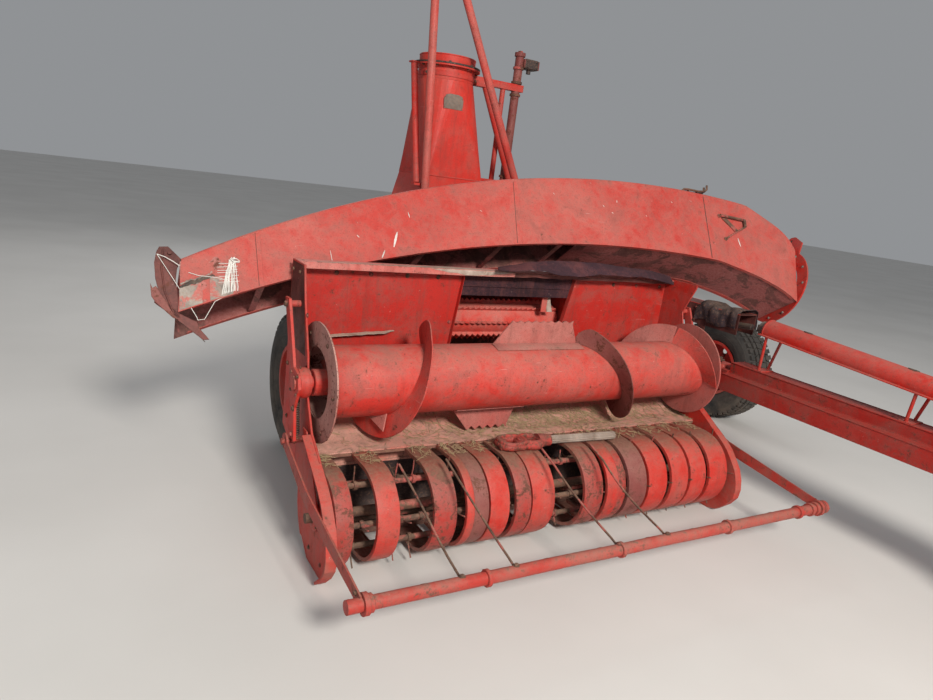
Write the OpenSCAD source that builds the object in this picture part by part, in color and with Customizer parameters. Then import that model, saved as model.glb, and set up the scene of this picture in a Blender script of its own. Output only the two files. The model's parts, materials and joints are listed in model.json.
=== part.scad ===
// Trailed forage harvester with a windrow pick-up header, parked with its
// header lowered and its discharge spout taken off and laid across the header.
// Front (pick-up) faces -Y, the drawbar is on the +X side, +Z is up.
// Lengths in mm. Inside the modules X = 0 is the middle of the header,
// Y = 0 the auger's axis and Z = 0 the ground; place() moves all of it so that
// the origin is under the middle of the whole machine.

/* [Header] */
// Inside width between the header's side plates
header_w = 2170; // [2100:10:2240]
// Height of the auger's axis
auger_z = 700; // [690:1:710]
// Diameter of the auger's tube
auger_tube_d = 300; // [260:5:320]
// Outside diameter of the auger's flights
auger_flight_d = 490; // [470:5:500]
// Lead of the flights
auger_lead = 480; // [400:10:520]
// Highest point of the header's back wall
wall_top_z = 1148; // [1140:1:1160]
// Distance of the back wall behind the auger's axis
wall_y = 300; // [290:1:310]

/* [Pick-up] */
// Distance of the reel's axis in front of the auger's axis
reel_y = -220; // [-230:1:-210]
// Height of the reel's axis
reel_z = 224; // [222:1:228]
// Outer radius of the stripper bands
band_r = 200; // [190:1:202]
// Width of a stripper band
band_w = 96; // [80:1:98]
// Distance between neighbouring band positions
band_pitch = 126; // [124:1:127]
// Radius of the tines' tips
tine_r = 217; // [205:1:218]
// Number of tine bars on the reel
tine_bars = 5; // [4:1:6]

/* [Wind guard] */
// Distance of the wind guard's bar in front of the auger's axis
guard_y = -850; // [-870:5:-830]
// Height of the wind guard's bar
guard_z = 260; // [250:5:280]
// Half length of the wind guard's bar
guard_half = 1210; // [1200:5:1220]

/* [Cutting unit] */
// Middle of the cutting unit and of the feed opening
unit_x = 50; // [45:1:55]
// Inside width of the cutting unit's housing
unit_w = 740; // [730:1:750]
// Distance of the drum's axis behind the auger's axis
drum_y = 950; // [945:1:955]
// Height of the drum's axis
drum_z = 800; // [798:1:802]
// Outer radius of the drum's housing
housing_r = 300; // [298:1:302]

/* [Wheels] */
// Tyre radius
tyre_r = 385; // [380:1:385]
// Tyre width
tyre_w = 255; // [240:5:260]
// Middle of the wheel beside the cutting unit
wheel_left_x = -775; // [-790:1:-765]
// Middle of the wheel beyond the drawbar
wheel_right_x = 2520; // [2500:5:2540]
// Axle line behind the auger's axis
axle_y = 930; // [925:1:935]

/* [Tower] */
// Height of the tower's round collar where it starts
collar_z = 2080; // [2070:5:2090]
// Outer radius of the collar
collar_r = 163; // [160:1:165]
// Middle of the collar behind the auger's axis
tower_y = 1275; // [1270:1:1280]

/* [Drawbar] */
// Middle of the drawbar's lower box
draw_x = 1462; // [1455:1:1470]
// Front end of the drawbar before the auger's axis
draw_front_y = -2330; // [-2400:10:-2250]
// Top of the drawbar's lower box
draw_z = 655; // [650:1:660]
// Pivot of the drawbar behind the auger's axis
draw_pivot_y = 130; // [125:1:135]

/* [Spout] */
// Tilt of the lying spout, its top leaning back
spout_tilt = 34; // [33:1:35]
// Turn of the lying spout, its thin end back
spout_yaw = 5.2; // [5:0.1:5.4]
// Width of the spout between its side plates
spout_t = 320; // [316:1:322]
// Sheet of the spout
spout_sheet = 5; // [4:1:6]

/* [Hidden] */

ox = -506.7;
oy = 382.6;
RED = [0.78, 0.16, 0.12];
FADED = [0.80, 0.36, 0.32];
RUST = [0.38, 0.22, 0.15];
DARK = [0.12, 0.11, 0.11];
STEEL = [0.45, 0.42, 0.40];
axle_z = tyre_r;
ring_bolt_r = 180;   // bolt circle of the spout's flange and the turntable
side_in = header_w / 2;
u_lo = unit_x - unit_w / 2;
u_hi = unit_x + unit_w / 2;
// band positions that still have their band, left to right
//  position, width
BANDS = [[-1050, 66], [-873, 90], [-627, 100], [-474, band_w + 8], [-367, band_w - 4], [-247, 74], [-145, 116], [138, 104], [277, 112],
         [408, 111], [541, 118], [691, 112], [819, 108], [969, 130]];
// places of the reel's tines, in the gaps between the bands
TINES = [-967, -790, -715, -552, -302, -45, 40, 205, 343, 473, 617, 756, 888.5, 1060];

module place() { translate([ox, oy, 0]) children(); }
// plate or bar cut along X: points are [Y, Z]
module along_x(x0, x1) { translate([x0, 0, 0]) rotate([90, 0, 90]) linear_extrude(x1 - x0) children(); }
module tube_x(x0, x1, y, z, r) { translate([x0, y, z]) rotate([0, 90, 0]) cylinder(r = r, h = x1 - x0, $fn = 48); }
module box(lo, hi) { translate(lo) cube(hi - lo); }
module rod(p, q, r, fn = 32) {
  d = q - p; L = norm(d);
  translate(p) rotate([0, acos(d[2] / L), atan2(d[1], d[0])]) cylinder(r = r, h = L, $fn = fn);
}
function arc(cx, cy, r, a0, a1, n) = [for (i = [0:n]) let (a = a0 + (a1 - a0) * i / n) [cx + r * cos(a), cy + r * sin(a)]];
function rev(v) = [for (i = [len(v) - 1:-1:0]) v[i]];

// ---------------------------------------------------------------- chassis
module axle() color(RED) place() {
  box([wheel_left_x + 140, axle_y - 50, axle_z - 50], [2370, axle_y + 50, axle_z + 50]);
  tube_x(wheel_left_x - 80, wheel_left_x + 140, axle_y, axle_z, 28);
  tube_x(2370, wheel_right_x + 80, axle_y, axle_z, 28);
  // ears and pin of the header lift cylinder
  for (x = [LB[0] - 36, LB[0] + 28]) along_x(x, x + 8) union() {
    translate([LB[1], LB[2]]) circle(r = 28, $fn = 48);
    translate([LB[1] - 28, axle_z + 50]) square([56, 30]);
  }
  tube_x(LB[0] - 40, LB[0] + 40, LB[1], LB[2], 15);
}
module main_frame() color(RED) place() {
  // cross beam beside the cutting unit, and the long beam that carries the drawbar
  box([u_hi + 8, 620, 440], [1400, 740, 550]);
  box([850, 740, 440], [930, 885, 550]);
  difference() {
    union() {
      box([1400, 180, 560], [1520, 980, 690]);
      box([1400, 620, 440], [1520, 740, 560]);
      // upper and lower lugs of the drawbar's pivot
      for (z = [540, 668]) box([1402, draw_pivot_y - 60, z], [1522, 180, z + 22]);
      box([1402, 180, 540], [1522, 200, 560]);
    }
    translate([draw_x, draw_pivot_y, 500]) cylinder(r = 21, h = 250, $fn = 48);
  }
  // posts on the axle
  box([1400, 880, axle_z + 50], [1520, 980, 560]);
  box([850, 885, axle_z + 50], [930, 975, 690]);
  box([850, 975, 610], [930, 1060, 690]);
}
module housing_2d(r) {
  translate([drum_y, drum_z]) circle(r = r, $fn = 96);
}
module drum_housing() color(RED) place() {
  t = 8;
  // shell round the drum, with its discharge chute at the rear
  along_x(u_lo, u_hi) difference() {
    union() { housing_2d(housing_r); translate([1058, drum_z]) square([drum_y + housing_r - 1058, 330]); }
    union() { housing_2d(housing_r - t); translate([1058 + t, drum_z]) square([drum_y + housing_r - 1058 - 2 * t, 340]); }
    polygon([[drum_y, drum_z], [500, drum_z + 377], [500, drum_z - 405]]);
  }
  for (x = [u_lo - t, u_hi]) difference() {
    along_x(x, x + t) union() {
      housing_2d(housing_r);
      translate([1058, drum_z]) square([drum_y + housing_r - 1058, 330]);
      polygon([[880, axle_z + 50], [980, axle_z + 50], [1080, 560], [760, 560]]);
      polygon([[620, 440], [740, 440], [860, 540], [720, 640], [620, 550]]);
    }
    translate([x - 1, drum_y, drum_z]) rotate([0, 90, 0]) cylinder(r = 40, h = t + 2, $fn = 48);
  }
  // bearing hubs that also carry the header
  for (x = [u_lo - 52, u_hi + t]) difference() {
    tube_x(x, x + 44, drum_y, drum_z, 60);
    tube_x(x - 1, x + 45, drum_y, drum_z, 40);
  }
}
module cutting_drum() color(RUST) place() {
  tube_x(u_lo + 8, u_hi - 8, drum_y, drum_z, 270);
  tube_x(u_lo - 122, u_lo + 8, drum_y, drum_z, 30);
  tube_x(u_hi - 8, u_hi + 72, drum_y, drum_z, 30);
}
module tower_block(o) {
  // lower transition, then square to round
  hull() {
    box([u_lo - 8 + o, 1058 + o, drum_z + 330], [u_hi + 8 - o, 1250 - o, drum_z + 331]);
    box([-120 + o, 1085 + o, 1549], [235 - o, 1475 - o, 1550]);
  }
  hull() {
    box([-120 + o, 1085 + o, 1550], [235 - o, 1475 - o, 1551]);
    translate([unit_x - 25, tower_y, collar_z - 1]) cylinder(r = collar_r - o, h = 1, $fn = 32);
  }
}
module discharge_tower() color(RED) place() difference() {
  tower_block(0);
  union() {
    hull() {
      box([u_lo, 1066, drum_z + 329], [u_hi, 1242, drum_z + 330]);
      box([-112, 1093, 1550], [227, 1467, 1551]);
    }
    hull() {
      box([-112, 1093, 1549], [227, 1467, 1550]);
      translate([unit_x - 25, tower_y, collar_z]) cylinder(r = collar_r - 8, h = 1, $fn = 32);
    }
  }
}
module tower_collar() color(RED) place() translate([unit_x - 25, tower_y, 0]) difference() {
  union() {
    translate([0, 0, collar_z]) cylinder(r = collar_r, h = 70, $fn = 96);
    translate([0, 0, collar_z + 70]) cylinder(r = 194, h = 8, $fn = 96);
  }
  translate([0, 0, collar_z - 1]) cylinder(r = collar_r - 8, h = 90, $fn = 96);
}
module turntable_ring() color(RED) place() translate([unit_x - 25, tower_y, 0]) difference() {
  union() {
    translate([0, 0, collar_z + 79]) cylinder(r = 194, h = 10, $fn = 96);
    translate([0, 0, collar_z + 89]) cylinder(r = collar_r, h = 46, $fn = 96);
  }
  translate([0, 0, collar_z + 70]) cylinder(r = collar_r - 8, h = 80, $fn = 96);
  for (a = [0:45:315]) rotate(a + 22.5) translate([ring_bolt_r, 0, collar_z + 60]) cylinder(r = 6.5, h = 40, $fn = 24);
}
module tower_stays() color(RED) place() {
  // thin tube left of the tower
  rod([-190, 1262, 2150], [-188, 1084, 1500], 19);
  box([-211, 1240, 2150], [-169.2, 1290, 2158]);
  box([-211, 1058, 1486], [-152, 1118, 1500]);
  // brackets, tube and strut on its right
  box([188.5, 1248, 2108], [552, 1292, 2148]);
  box([236, 1196, 1552], [560, 1300, 1570]);
  rod([418, 1270, 1570], [418, 1270, 2108], 16);
  rod([262, 1218, 2098], [522, 1218, 1566], 20);
  box([191.5, 1200, 2088], [286, 1248, 2106]);
}
module spout_turning_post() color(RED) place() {
  translate([510, 1270, 1570]) cylinder(r = 26, h = 538, $fn = 48);
  translate([510, 1270, 2148]) cylinder(r = 26, h = 162, $fn = 48);
  translate([510, 1270, 2310]) cylinder(r = 33, h = 22, $fn = 48);
  box([529, 1240, 2250], [640, 1300, 2300]);
}
module derrick_frame() color(FADED) place() {
  y = 1030;
  rod([-133, y, 1102], [-240, y, 2850], 22);
  rod([893, y, 700], [-224, y, 2860], 22);
  box([-200, y - 35, 1096.7], [-76, y + 22, 1106]);
  box([840, y - 40, 690], [945, y + 30, 700]);
  difference() {
    translate([0, y + 10, 0]) rotate([90, 0, 0]) linear_extrude(20) polygon([[-290, 2850], [-190, 2850], [-205, 2965], [-275, 2965]]);
    translate([-240, y + 20, 2925]) rotate([90, 0, 0]) cylinder(r = 17, h = 40, $fn = 48);
  }
}
module gearbox() color(DARK) place() {
  box([1400, 790, 690], [1540, 970, 720]);
  box([1400, 770, 720], [1600, 990, 930]);
  translate([1500, 770, 850]) rotate([90, 0, 0]) cylinder(r = 72, h = 50, $fn = 64);
  // intermediate shaft under its shield
  rod([1500, 740, 852], [1500, -20, 938], 17.5, 48);
  tube_x(1340, 1400, drum_y, drum_z + 10, 62);
}
module input_shaft_shield() color(RED) place() {
  // channel over the intermediate shaft, between the gearbox and the drawbar's pivot
  difference() {
    box([1425, 20, 880], [1575, 620, 1000]);
    box([1430, 10, 870], [1570, 630, 995]);
  }
  for (y = [250, 560]) {
    box([1425, y, 690], [1430, y + 50, 880]);
    box([1515, y, 690], [1520, y + 50, 700]);
  }
}
module drive_cover() color(RED) place() {
  along_x(u_hi + 72, u_hi + 182) hull() {
    translate([drum_y, drum_z + 10]) circle(r = 190, $fn = 64);
    translate([drum_y + 260, drum_z + 170]) circle(r = 110, $fn = 64);
  }
}
module feed_drive_cover() color(RED) place() {
  along_x(u_lo - 230, u_lo - 122) hull() {
    translate([drum_y, drum_z]) circle(r = 170, $fn = 64);
    translate([drum_y + 190, drum_z - 150]) circle(r = 90, $fn = 64);
  }
}
module cross_shaft_guard() color(RED) place() {
  tube_x(u_hi + 182, 1340, drum_y, drum_z + 10, 48);
}
module trailer_hitch() color(RED) place() {
  box([unit_x - 50, axle_y + 50, axle_z - 50], [unit_x + 50, 1620, axle_z + 50]);
  for (s = [-1, 1]) rod([unit_x + s * 420, axle_y + 68, axle_z], [unit_x + s * 68, 1500, axle_z], 18);
  difference() {
    union() {
      for (z = [axle_z - 46, axle_z + 26]) box([unit_x - 50, 1620, z], [unit_x + 50, 1720, z + 20]);
      for (z = [axle_z - 46, axle_z + 26]) translate([unit_x, 1720, z]) cylinder(r = 50, h = 20, $fn = 64);
    }
    translate([unit_x, 1720, axle_z - 60]) cylinder(r = 16, h = 120, $fn = 48);
  }
}

// ---------------------------------------------------------------- wheels
// half of the tyre's outline: radius, distance from the middle plane
TYRE = [[200, 86], [209.5, 92.5], [222, 104], [238, 114], [262, 121], [295, tyre_w / 2], [326, 124], [350, 114], [tyre_r - 18, 98], [tyre_r - 6, 80], [tyre_r - 1, 50], [tyre_r, 18]];
module tyre(x) color(DARK) place() translate([x, axle_y, axle_z]) rotate([0, 90, 0]) rotate_extrude($fn = 96)
  polygon(concat([for (p = TYRE) [p[0], -p[1]]], rev(TYRE)));
module rim(x, s) color(RED) place() translate([x, axle_y, axle_z]) rotate([0, 90, 0]) difference() {
  union() {
    rotate_extrude($fn = 96) polygon([[186, -104], [208, -104], [208, -96], [199.5, -92], [199.5, 92], [208, 96], [208, 104], [186, 104], [178, 60], [178, -60]]);
    translate([0, 0, s * 10 - 6]) cylinder(r = 178, h = 12, $fn = 96);
    translate([0, 0, -55]) cylinder(r = 62, h = 110, $fn = 64);
  }
  translate([0, 0, -80]) cylinder(r = 30, h = 160, $fn = 64);
  for (a = [0:60:300]) rotate(a) translate([125, 0, -40]) cylinder(r = 22, h = 80, $fn = 32);
}
module tyre_left() tyre(wheel_left_x);
module tyre_right() tyre(wheel_right_x);
module rim_left() rim(wheel_left_x, -1);
module rim_right() rim(wheel_right_x, 1);

// ---------------------------------------------------------------- header lift
LB = [-420, axle_y, axle_z + 90];    // barrel's eye on the axle
LR = [-420, 400, 470];               // rod's eye on the feeder
LD = (LR - LB) / norm(LR - LB);
module lift_cylinder_barrel() color(RED) place() {
  difference() {
    union() {
      rod(LB + LD * 22, LB + LD * 60, 20);
      rod(LB + LD * 45, LB + LD * 330, 32);
      tube_x(LB[0] - 22, LB[0] + 22, LB[1], LB[2], 30);
    }
    tube_x(LB[0] - 40, LB[0] + 40, LB[1], LB[2], 15.5);
    rod(LB + LD * 40, LB + LD * 340, 17);
  }
}
module lift_cylinder_rod() color(STEEL) place() {
  difference() {
    union() {
      rod(LB + LD * 150, LR - LD * 24, 15);
      tube_x(LR[0] - 18, LR[0] + 18, LR[1], LR[2], 30);
    }
    tube_x(LR[0] - 40, LR[0] + 40, LR[1], LR[2], 19);
  }
}

// ---------------------------------------------------------------- header
open_lo = u_lo - 10;
open_hi = u_hi - 130;
module header_wall() color(RED) place() {
  difference() {
    box([-side_in, wall_y, auger_z - 130], [side_in, wall_y + 6, wall_top_z - 6]);
    translate([0, wall_y + 20, 0]) rotate([90, 0, 0]) linear_extrude(40) polygon([[open_lo, 560], [open_hi, 560], [open_hi + 115, 1112], [open_lo + 64, 1112]]);
  }
  // top channel
  box([-side_in, wall_y - 62, wall_top_z - 6], [side_in, wall_y + 6, wall_top_z]);
  box([-side_in, wall_y - 62, wall_top_z - 16], [side_in, wall_y - 57, wall_top_z - 6]);
  // edges of the feed opening
  box([open_lo - 6, wall_y - 26, 600], [open_lo, wall_y, 700]);
  box([open_hi + 32, wall_y - 26, 600], [open_hi + 38, wall_y, 700]);
}
module header_trough() color([0.62, 0.45, 0.38]) place() {
  rt = wall_y - 28;
  along_x(-side_in, side_in) polygon(concat(
    [[wall_y + 6, auger_z - 130], [wall_y, auger_z - 130]],
    arc(0, auger_z, 272, -28, -90, 12), [[-88, reel_z + band_r]],
    [[-88, reel_z + band_r - 5]], rev(arc(0, auger_z, 277, -31, -90, 12)), [[wall_y + 6, auger_z - 142]]));
  // curved skirt behind the reel
  along_x(-side_in, side_in) polygon(concat(arc(reel_y, reel_z, 229, 30, -44, 12), rev(arc(reel_y, reel_z, 234, 30, -44, 12))));
  box([-side_in, -22, 336], [side_in, -12, 346]);
  // cross tube under the trough
  box([-side_in, -15, 340], [side_in, 65, 400]);
  for (x = [-700, 0, 700]) box([x - 5, -15, 400], [x + 5, 65, 425]);
}
// the side plate's outline, [Y, Z]
EDGE = [[-84, 512], [-140, 480], [-204, 441], [-256, 412], [-306, 381], [-346, 350], [-384, 307], [-417, 266], [-439, 215], [-449, 165], [-443, 116], [-410, 68], [-352, 14]];
SIDE = concat(EDGE, [[-300, 0], [-140, 0], [-60, 56], [-38, 56],
        [-2, 104], [22, 165], [32, 240], [40, 300], [wall_y + 6, 420], [wall_y + 6, wall_top_z]]);
// front edges above the auger's bearing, left and right
UP_L = [[150, wall_top_z], [110, 1000], [30, 800], [0, 640]];
UP_R = [[74, wall_top_z], [76, 1130], [109, 1060], [141, 985], [110, 880], [30, 800], [0, 640]];
module side_plate(s) color(RED) place() difference() {
  union() {
    along_x(s > 0 ? side_in : -side_in - 8, s > 0 ? side_in + 8 : -side_in) polygon(concat(SIDE, s > 0 ? UP_R : UP_L));
    // outward flange along the front edge
    along_x(s > 0 ? side_in + 8 : -side_in - 44, s > 0 ? side_in + 44 : -side_in - 8) polygon(
      concat(EDGE, [[-346, 22], [-403, 74], [-435, 119], [-441, 165], [-431, 212], [-410, 262], [-378, 301], [-341, 344], [-302, 374], [-252, 405], [-200, 434], [-136, 473], [-80, 505]]));
  }
  // bores of the wind guard's pivot, the reel and the auger
  tube_x(-1300, 1300, 20, 450, 12.5);
  tube_x(-1300, 1300, reel_y, reel_z, 22);
  tube_x(-1300, 1300, 0, auger_z, 70);
}
module header_side_left() side_plate(-1);
module header_side_right() side_plate(1);
module feeder_box() color(RED) place() {
  for (x = [u_lo - 22, u_hi + 14]) difference() {
    along_x(x, x + 8) union() {
      polygon([[wall_y + 6, 430], [wall_y + 6, 1030], [640, 1030], [drum_y + 20, drum_z + 78], [drum_y + 20, drum_z - 78], [640, 590], [450, 430]]);
      translate([drum_y, drum_z]) circle(r = 80, $fn = 64);
    }
    tube_x(x - 1, x + 9, drum_y, drum_z, 61);
    tube_x(x - 1, x + 9, 470, 860, 21);
    tube_x(x - 1, x + 9, 440, 600, 21);
  }
  box([u_lo - 14, wall_y + 6, 1022], [u_hi + 14, 620, 1030]);
  along_x(u_lo - 14, u_hi + 14) polygon([[wall_y + 6, 440], [470, 440], [640, 627], [634, 633], [466, 448], [wall_y + 6, 448]]);
  // lug for the lift cylinder
  difference() {
    union() {
      box([LR[0] - 44, LR[1] - 34, LR[2] - 30], [LR[0] - 28, LR[1] + 34, LR[2] + 30]);
      box([LR[0] - 28, LR[1] - 34, LR[2] + 42], [u_lo - 22, LR[1] + 34, LR[2] + 54]);
      box([LR[0] - 44, LR[1] - 34, LR[2] + 30], [LR[0] - 28, LR[1] + 34, LR[2] + 54]);
    }
    tube_x(LR[0] - 60, LR[0] - 10, LR[1], LR[2], 15);
  }
  tube_x(LR[0] - 44, u_lo - 22, LR[1], LR[2], 15);
}
module auger_arms() color(RED) place() {
  // left: lever with its bearing, spring rod and shield; right: bearing plate
  for (s = [-1, 1]) difference() {
    along_x(s > 0 ? side_in + 52 : -side_in - 64, s > 0 ? side_in + 64 : -side_in - 52)
      polygon([[-40, 470], [-14, 600], [-60, 690], [-40, 745], [20, 760], [140, 1010], [190, 1010], [70, 740], [60, 650], [16, 590], [10, 470]]);
    tube_x(-1300, 1300, 0, auger_z, 31);
  }
  for (s = [-1, 1]) difference() {
    union() {
      tube_x(s > 0 ? side_in + 8 : -side_in - 52, s > 0 ? side_in + 52 : -side_in - 8, 0, auger_z, 58);
      tube_x(s > 0 ? side_in + 8 : -side_in - 52, s > 0 ? side_in + 52 : -side_in - 8, 162, 985, 14);
    }
    tube_x(-1300, 1300, 0, auger_z, 31);
  }
}
module stripper_bands() color(RED) place() {
  for (b = BANDS) translate([b[0], 0, 0]) along_x(-b[1] / 2, b[1] / 2) difference() {
    union() {
      translate([reel_y, reel_z]) circle(r = band_r, $fn = 96);
      translate([reel_y, reel_z + band_r - 5]) square([130, 5]);
      translate([reel_y, reel_z - band_r]) square([160, 5]);
    }
    translate([reel_y, reel_z]) circle(r = band_r - 5, $fn = 96);
    translate([reel_y, reel_z - band_r + 5]) square([400, 2 * band_r - 10]);
  }
  // cross strips that join the bands at the pan and below
  box([-side_in, -92, reel_z + band_r - 17], [side_in, -80, reel_z + band_r - 5]);
  box([-side_in, -70, reel_z - band_r + 5], [side_in, -60, reel_z - band_r + 36]);
}
module header_chain_drive() color(RUST) place() {
  // chain case plates and sprockets outside the right-hand side plate
  difference() {
    tube_x(side_in + 70, side_in + 82, 0, auger_z, 105);
    tube_x(side_in + 60, side_in + 90, 0, auger_z, 31);
  }
  tube_x(side_in + 70, side_in + 82, 250, 820, 60);
  tube_x(side_in + 8, side_in + 70, 250, 820, 16);
  box([side_in + 74, 20, auger_z + 100], [side_in + 80, 200, auger_z + 106]);
}
module loose_yoke() color(RED) place() {
  // loose cast yoke with its shaft, lying on the bands
  translate([-180, -190, 456]) rotate([0, 0, -3]) {
    difference() {
      union() {
        translate([-90, -75, -32]) cube([210, 130, 45]);
        translate([120, -45, -32]) cube([60, 80, 40]);
      }
      translate([-50, -40, -50]) cube([70, 70, 90]);
      translate([48, -40, -50]) cube([46, 62, 90]);
    }
    translate([180, -5, -10]) rotate([0, 90, 0]) cylinder(r = 20, h = 380, $fn = 48);
  }
}

// ---------------------------------------------------------------- spout, lying on its side across the header
// spout frame: u along the machine's X, w up its side plate, n through its width
module spout_frame() translate([30, 352, 1268]) rotate([0, 0, -spout_yaw]) rotate([-spout_tilt, 0, 0]) rotate([90, 0, 0]) mirror([0, 0, 1]) children();
TOP_R = 5250; TOP_U = 1000; TOP_W = 474;
LOW_R = 5926; LOW_U = 744; LOW_W = 47;
function top_at(u) = TOP_W - TOP_R + sqrt(TOP_R * TOP_R - (u - TOP_U) * (u - TOP_U));
function low_at(u) = LOW_W - LOW_R + sqrt(LOW_R * LOW_R - (u - LOW_U) * (u - LOW_U));
UT = [for (i = [0:14]) -1545 + i * (1730 + 1545) / 14];
UL = [for (i = [0:12]) -1560 + i * (1400 + 1560) / 12];
FLC = [2009, -51]; FLT = 18;     // centre and tilt of the base flange
FLE = [sin(FLT), cos(FLT)];
TOP_END = [[1865, 352], [1984, 282], [2050, 212]];
END = [FLC + 205 * FLE, FLC - 185 * FLE];
LOW_END = [[1878, -162], [1760, -104], [1640, -58], [1510, -22]];
top_line = concat([for (u = UT) [u, top_at(u)]], TOP_END);
low_line = concat([for (u = UL) [u, low_at(u)]], rev(LOW_END));
module spout_chute() color(FADED) place() spout_frame() {
  s = spout_sheet;
  outline = concat(top_line, END, rev(low_line));
  linear_extrude(s) polygon(outline);
  translate([0, 0, spout_t - s]) linear_extrude(s) polygon(outline);
  // outer sheet
  translate([0, 0, s]) linear_extrude(spout_t - 2 * s) polygon(concat(top_line, rev([for (p = top_line) [p[0] - (p[0] > 1980 ? s : 0), p[1] - s]])));
  // inner sheet at the base end
  translate([0, 0, s]) linear_extrude(spout_t - 2 * s) polygon([[1640, -58], [1760, -104], [1878, -162], [1946, -218], [1946, -211], [1878, -156], [1760, -98], [1640, -52]]);
  // ears of the flap's pivot
  for (n = [0, spout_t - s]) translate([0, 0, n]) linear_extrude(s) polygon([[-1545, -186], [-1604, -134], [-1612, -185], [-1550, -310]]);
  // stiffening strips inside the open side
  for (u = [-1250, -500, 300, 1050]) translate([u, low_at(u) + 6, s]) cube([25, 5, spout_t - 2 * s]);
}
module spout_base_flange() color(RED) place() spout_frame() translate([FLC[0], FLC[1], spout_t / 2]) rotate([0, 90, 0]) rotate([FLT, 0, 0]) difference() {
  union() {
    cylinder(r = 242, h = 10, $fn = 96);
    translate([-262, -22, 0]) cube([40, 44, 10]);
  }
  translate([0, 0, -1]) cylinder(r = 166, h = 20, $fn = 96);
  for (a = [0:45:315]) rotate(a + 22.5) translate([ring_bolt_r, 0, -1]) cylinder(r = 6.5, h = 20, $fn = 24);
}
module spout_flap() color(RUST) place() spout_frame() {
  // deflector at the thin end: a bent plate between two cheeks, hung on two pins
  for (n = [12, spout_t - 17]) translate([0, 0, n]) linear_extrude(5) polygon(
    [[-1637, -136], [-1587, -132], [-1556, -180], [-1556, -225], [-1500, -340], [-1446, -527], [-1472, -527], [-1661, -301]]);
  translate([0, 0, 17]) linear_extrude(spout_t - 34) polygon([[-1645, -180], [-1661, -301], [-1512, -485], [-1472, -527], [-1468, -522], [-1508, -480], [-1655, -298], [-1639, -180]]);
  for (n = [5.5, spout_t - 12]) translate([-1588, -165, n]) cylinder(r = 9, h = 6.5, $fn = 32);
}

// ---------------------------------------------------------------- auger
module auger_body() color(RED) place() {
  r = auger_tube_d / 2;
  difference() {
    tube_x(-1052, 1052, 0, auger_z, r);
    tube_x(-1060, -960, 0, auger_z, r - 6);
    tube_x(1046, 1060, 0, auger_z, r - 6);
  }
  // end discs: an open ring on spokes at the left, a full disc at the right
  difference() {
    tube_x(-1060, -1054 + 2, 0, auger_z, auger_flight_d / 2);
    tube_x(-1070, -1040, 0, auger_z, r - 6);
  }
  tube_x(1030, 1038, 0, auger_z, auger_flight_d / 2);
  tube_x(-1156, -958, 0, auger_z, 30);
  tube_x(-1078, -958, 0, auger_z, 54);
  tube_x(1040, 1170, 0, auger_z, 30);
  // throwing paddles with a saw edge, one up and one down
  // from, to, angle, depth of the saw teeth
  for (p = [[-247, 237, 0, 3], [-420, -70, 180, 18]]) let (x0 = p[0], x1 = p[1], n = round((x1 - x0 - 140) / 22))
    translate([0, 0, auger_z]) rotate([p[2], 0, 0])
      translate([0, 3, 0]) rotate([90, 0, 0]) linear_extrude(6) polygon(concat(
        [[x0, r - 3], [x0 + 80, r + 92]],
        [for (i = [0:n]) [x0 + 96 + i * 22, r + 110 - (i % 2) * p[3]]],
        [[x1 - 38, r + 92], [x1, r - 3]]));
}
// right-hand helix of thin sheet between two radii, from angle a0 to a1, starting at x0
module helix(x0, a0, a1, lead, r0, r1, t, n) {
  pts = [for (i = [0:n]) let (a = a0 + (a1 - a0) * i / n, x = x0 + lead * abs(a - a0) / 360)
      for (q = [[r0, -t / 2], [r1, -t / 2], [r1, t / 2], [r0, t / 2]]) [x + q[1], q[0] * cos(a), auger_z + q[0] * sin(a)]];
  faces = concat([[0, 1, 2, 3]], [[4 * n + 3, 4 * n + 2, 4 * n + 1, 4 * n]],
    [for (i = [0:n - 1]) for (k = [0:3]) let (a = 4 * i + k, b = 4 * i + (k + 1) % 4) for (f = [[a, a + 4, b], [b, a + 4, b + 4]]) f]);
  polyhedron(pts, faces);
}
module auger_flights() color(RED) place() {
  r0 = auger_tube_d / 2 + 0.8; r1 = auger_flight_d / 2;
    // one short turn is left at the left-hand end, a turn and a quarter at the right-hand end
  mirror([1, 0, 0]) helix(518, 30, 300, auger_lead - 50, r0, r1, 6, 30);
  helix(281, 90, 550, auger_lead + 103, r0, r1, 6, 46);
}

// ---------------------------------------------------------------- pick-up reel
module reel_frame() color(RUST) place() {
  tube_x(-1140, 1140, reel_y, reel_z, 20);
  for (x = [-1040, -360, 360, 1034]) difference() {
    tube_x(x, x + 6, reel_y, reel_z, 150);
    tube_x(x - 1, x + 7, reel_y, reel_z, 20);
    for (k = [0:tine_bars - 1]) tube_x(x - 1, x + 7, reel_y + 132 * cos(k * 360 / tine_bars + 30), reel_z + 132 * sin(k * 360 / tine_bars + 30), 12);
  }
  for (k = [0:tine_bars - 1]) tube_x(-1044, 1044, reel_y + 132 * cos(k * 360 / tine_bars + 30), reel_z + 132 * sin(k * 360 / tine_bars + 30), 12);
}
module reel_tines() color(RUST) place() {
  // those under the loose yoke are broken off short
  for (k = [0:tine_bars - 1]) let (a = k * 360 / tine_bars + 30) for (x = TINES)
    let (tr = abs(x) < 360 ? 190 : tine_r)
      rod([x, reel_y + 145.4 * cos(a), reel_z + 145.4 * sin(a)], [x, reel_y + tr * cos(a - 4), reel_z + tr * sin(a - 4)], 4, 16);
}

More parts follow.
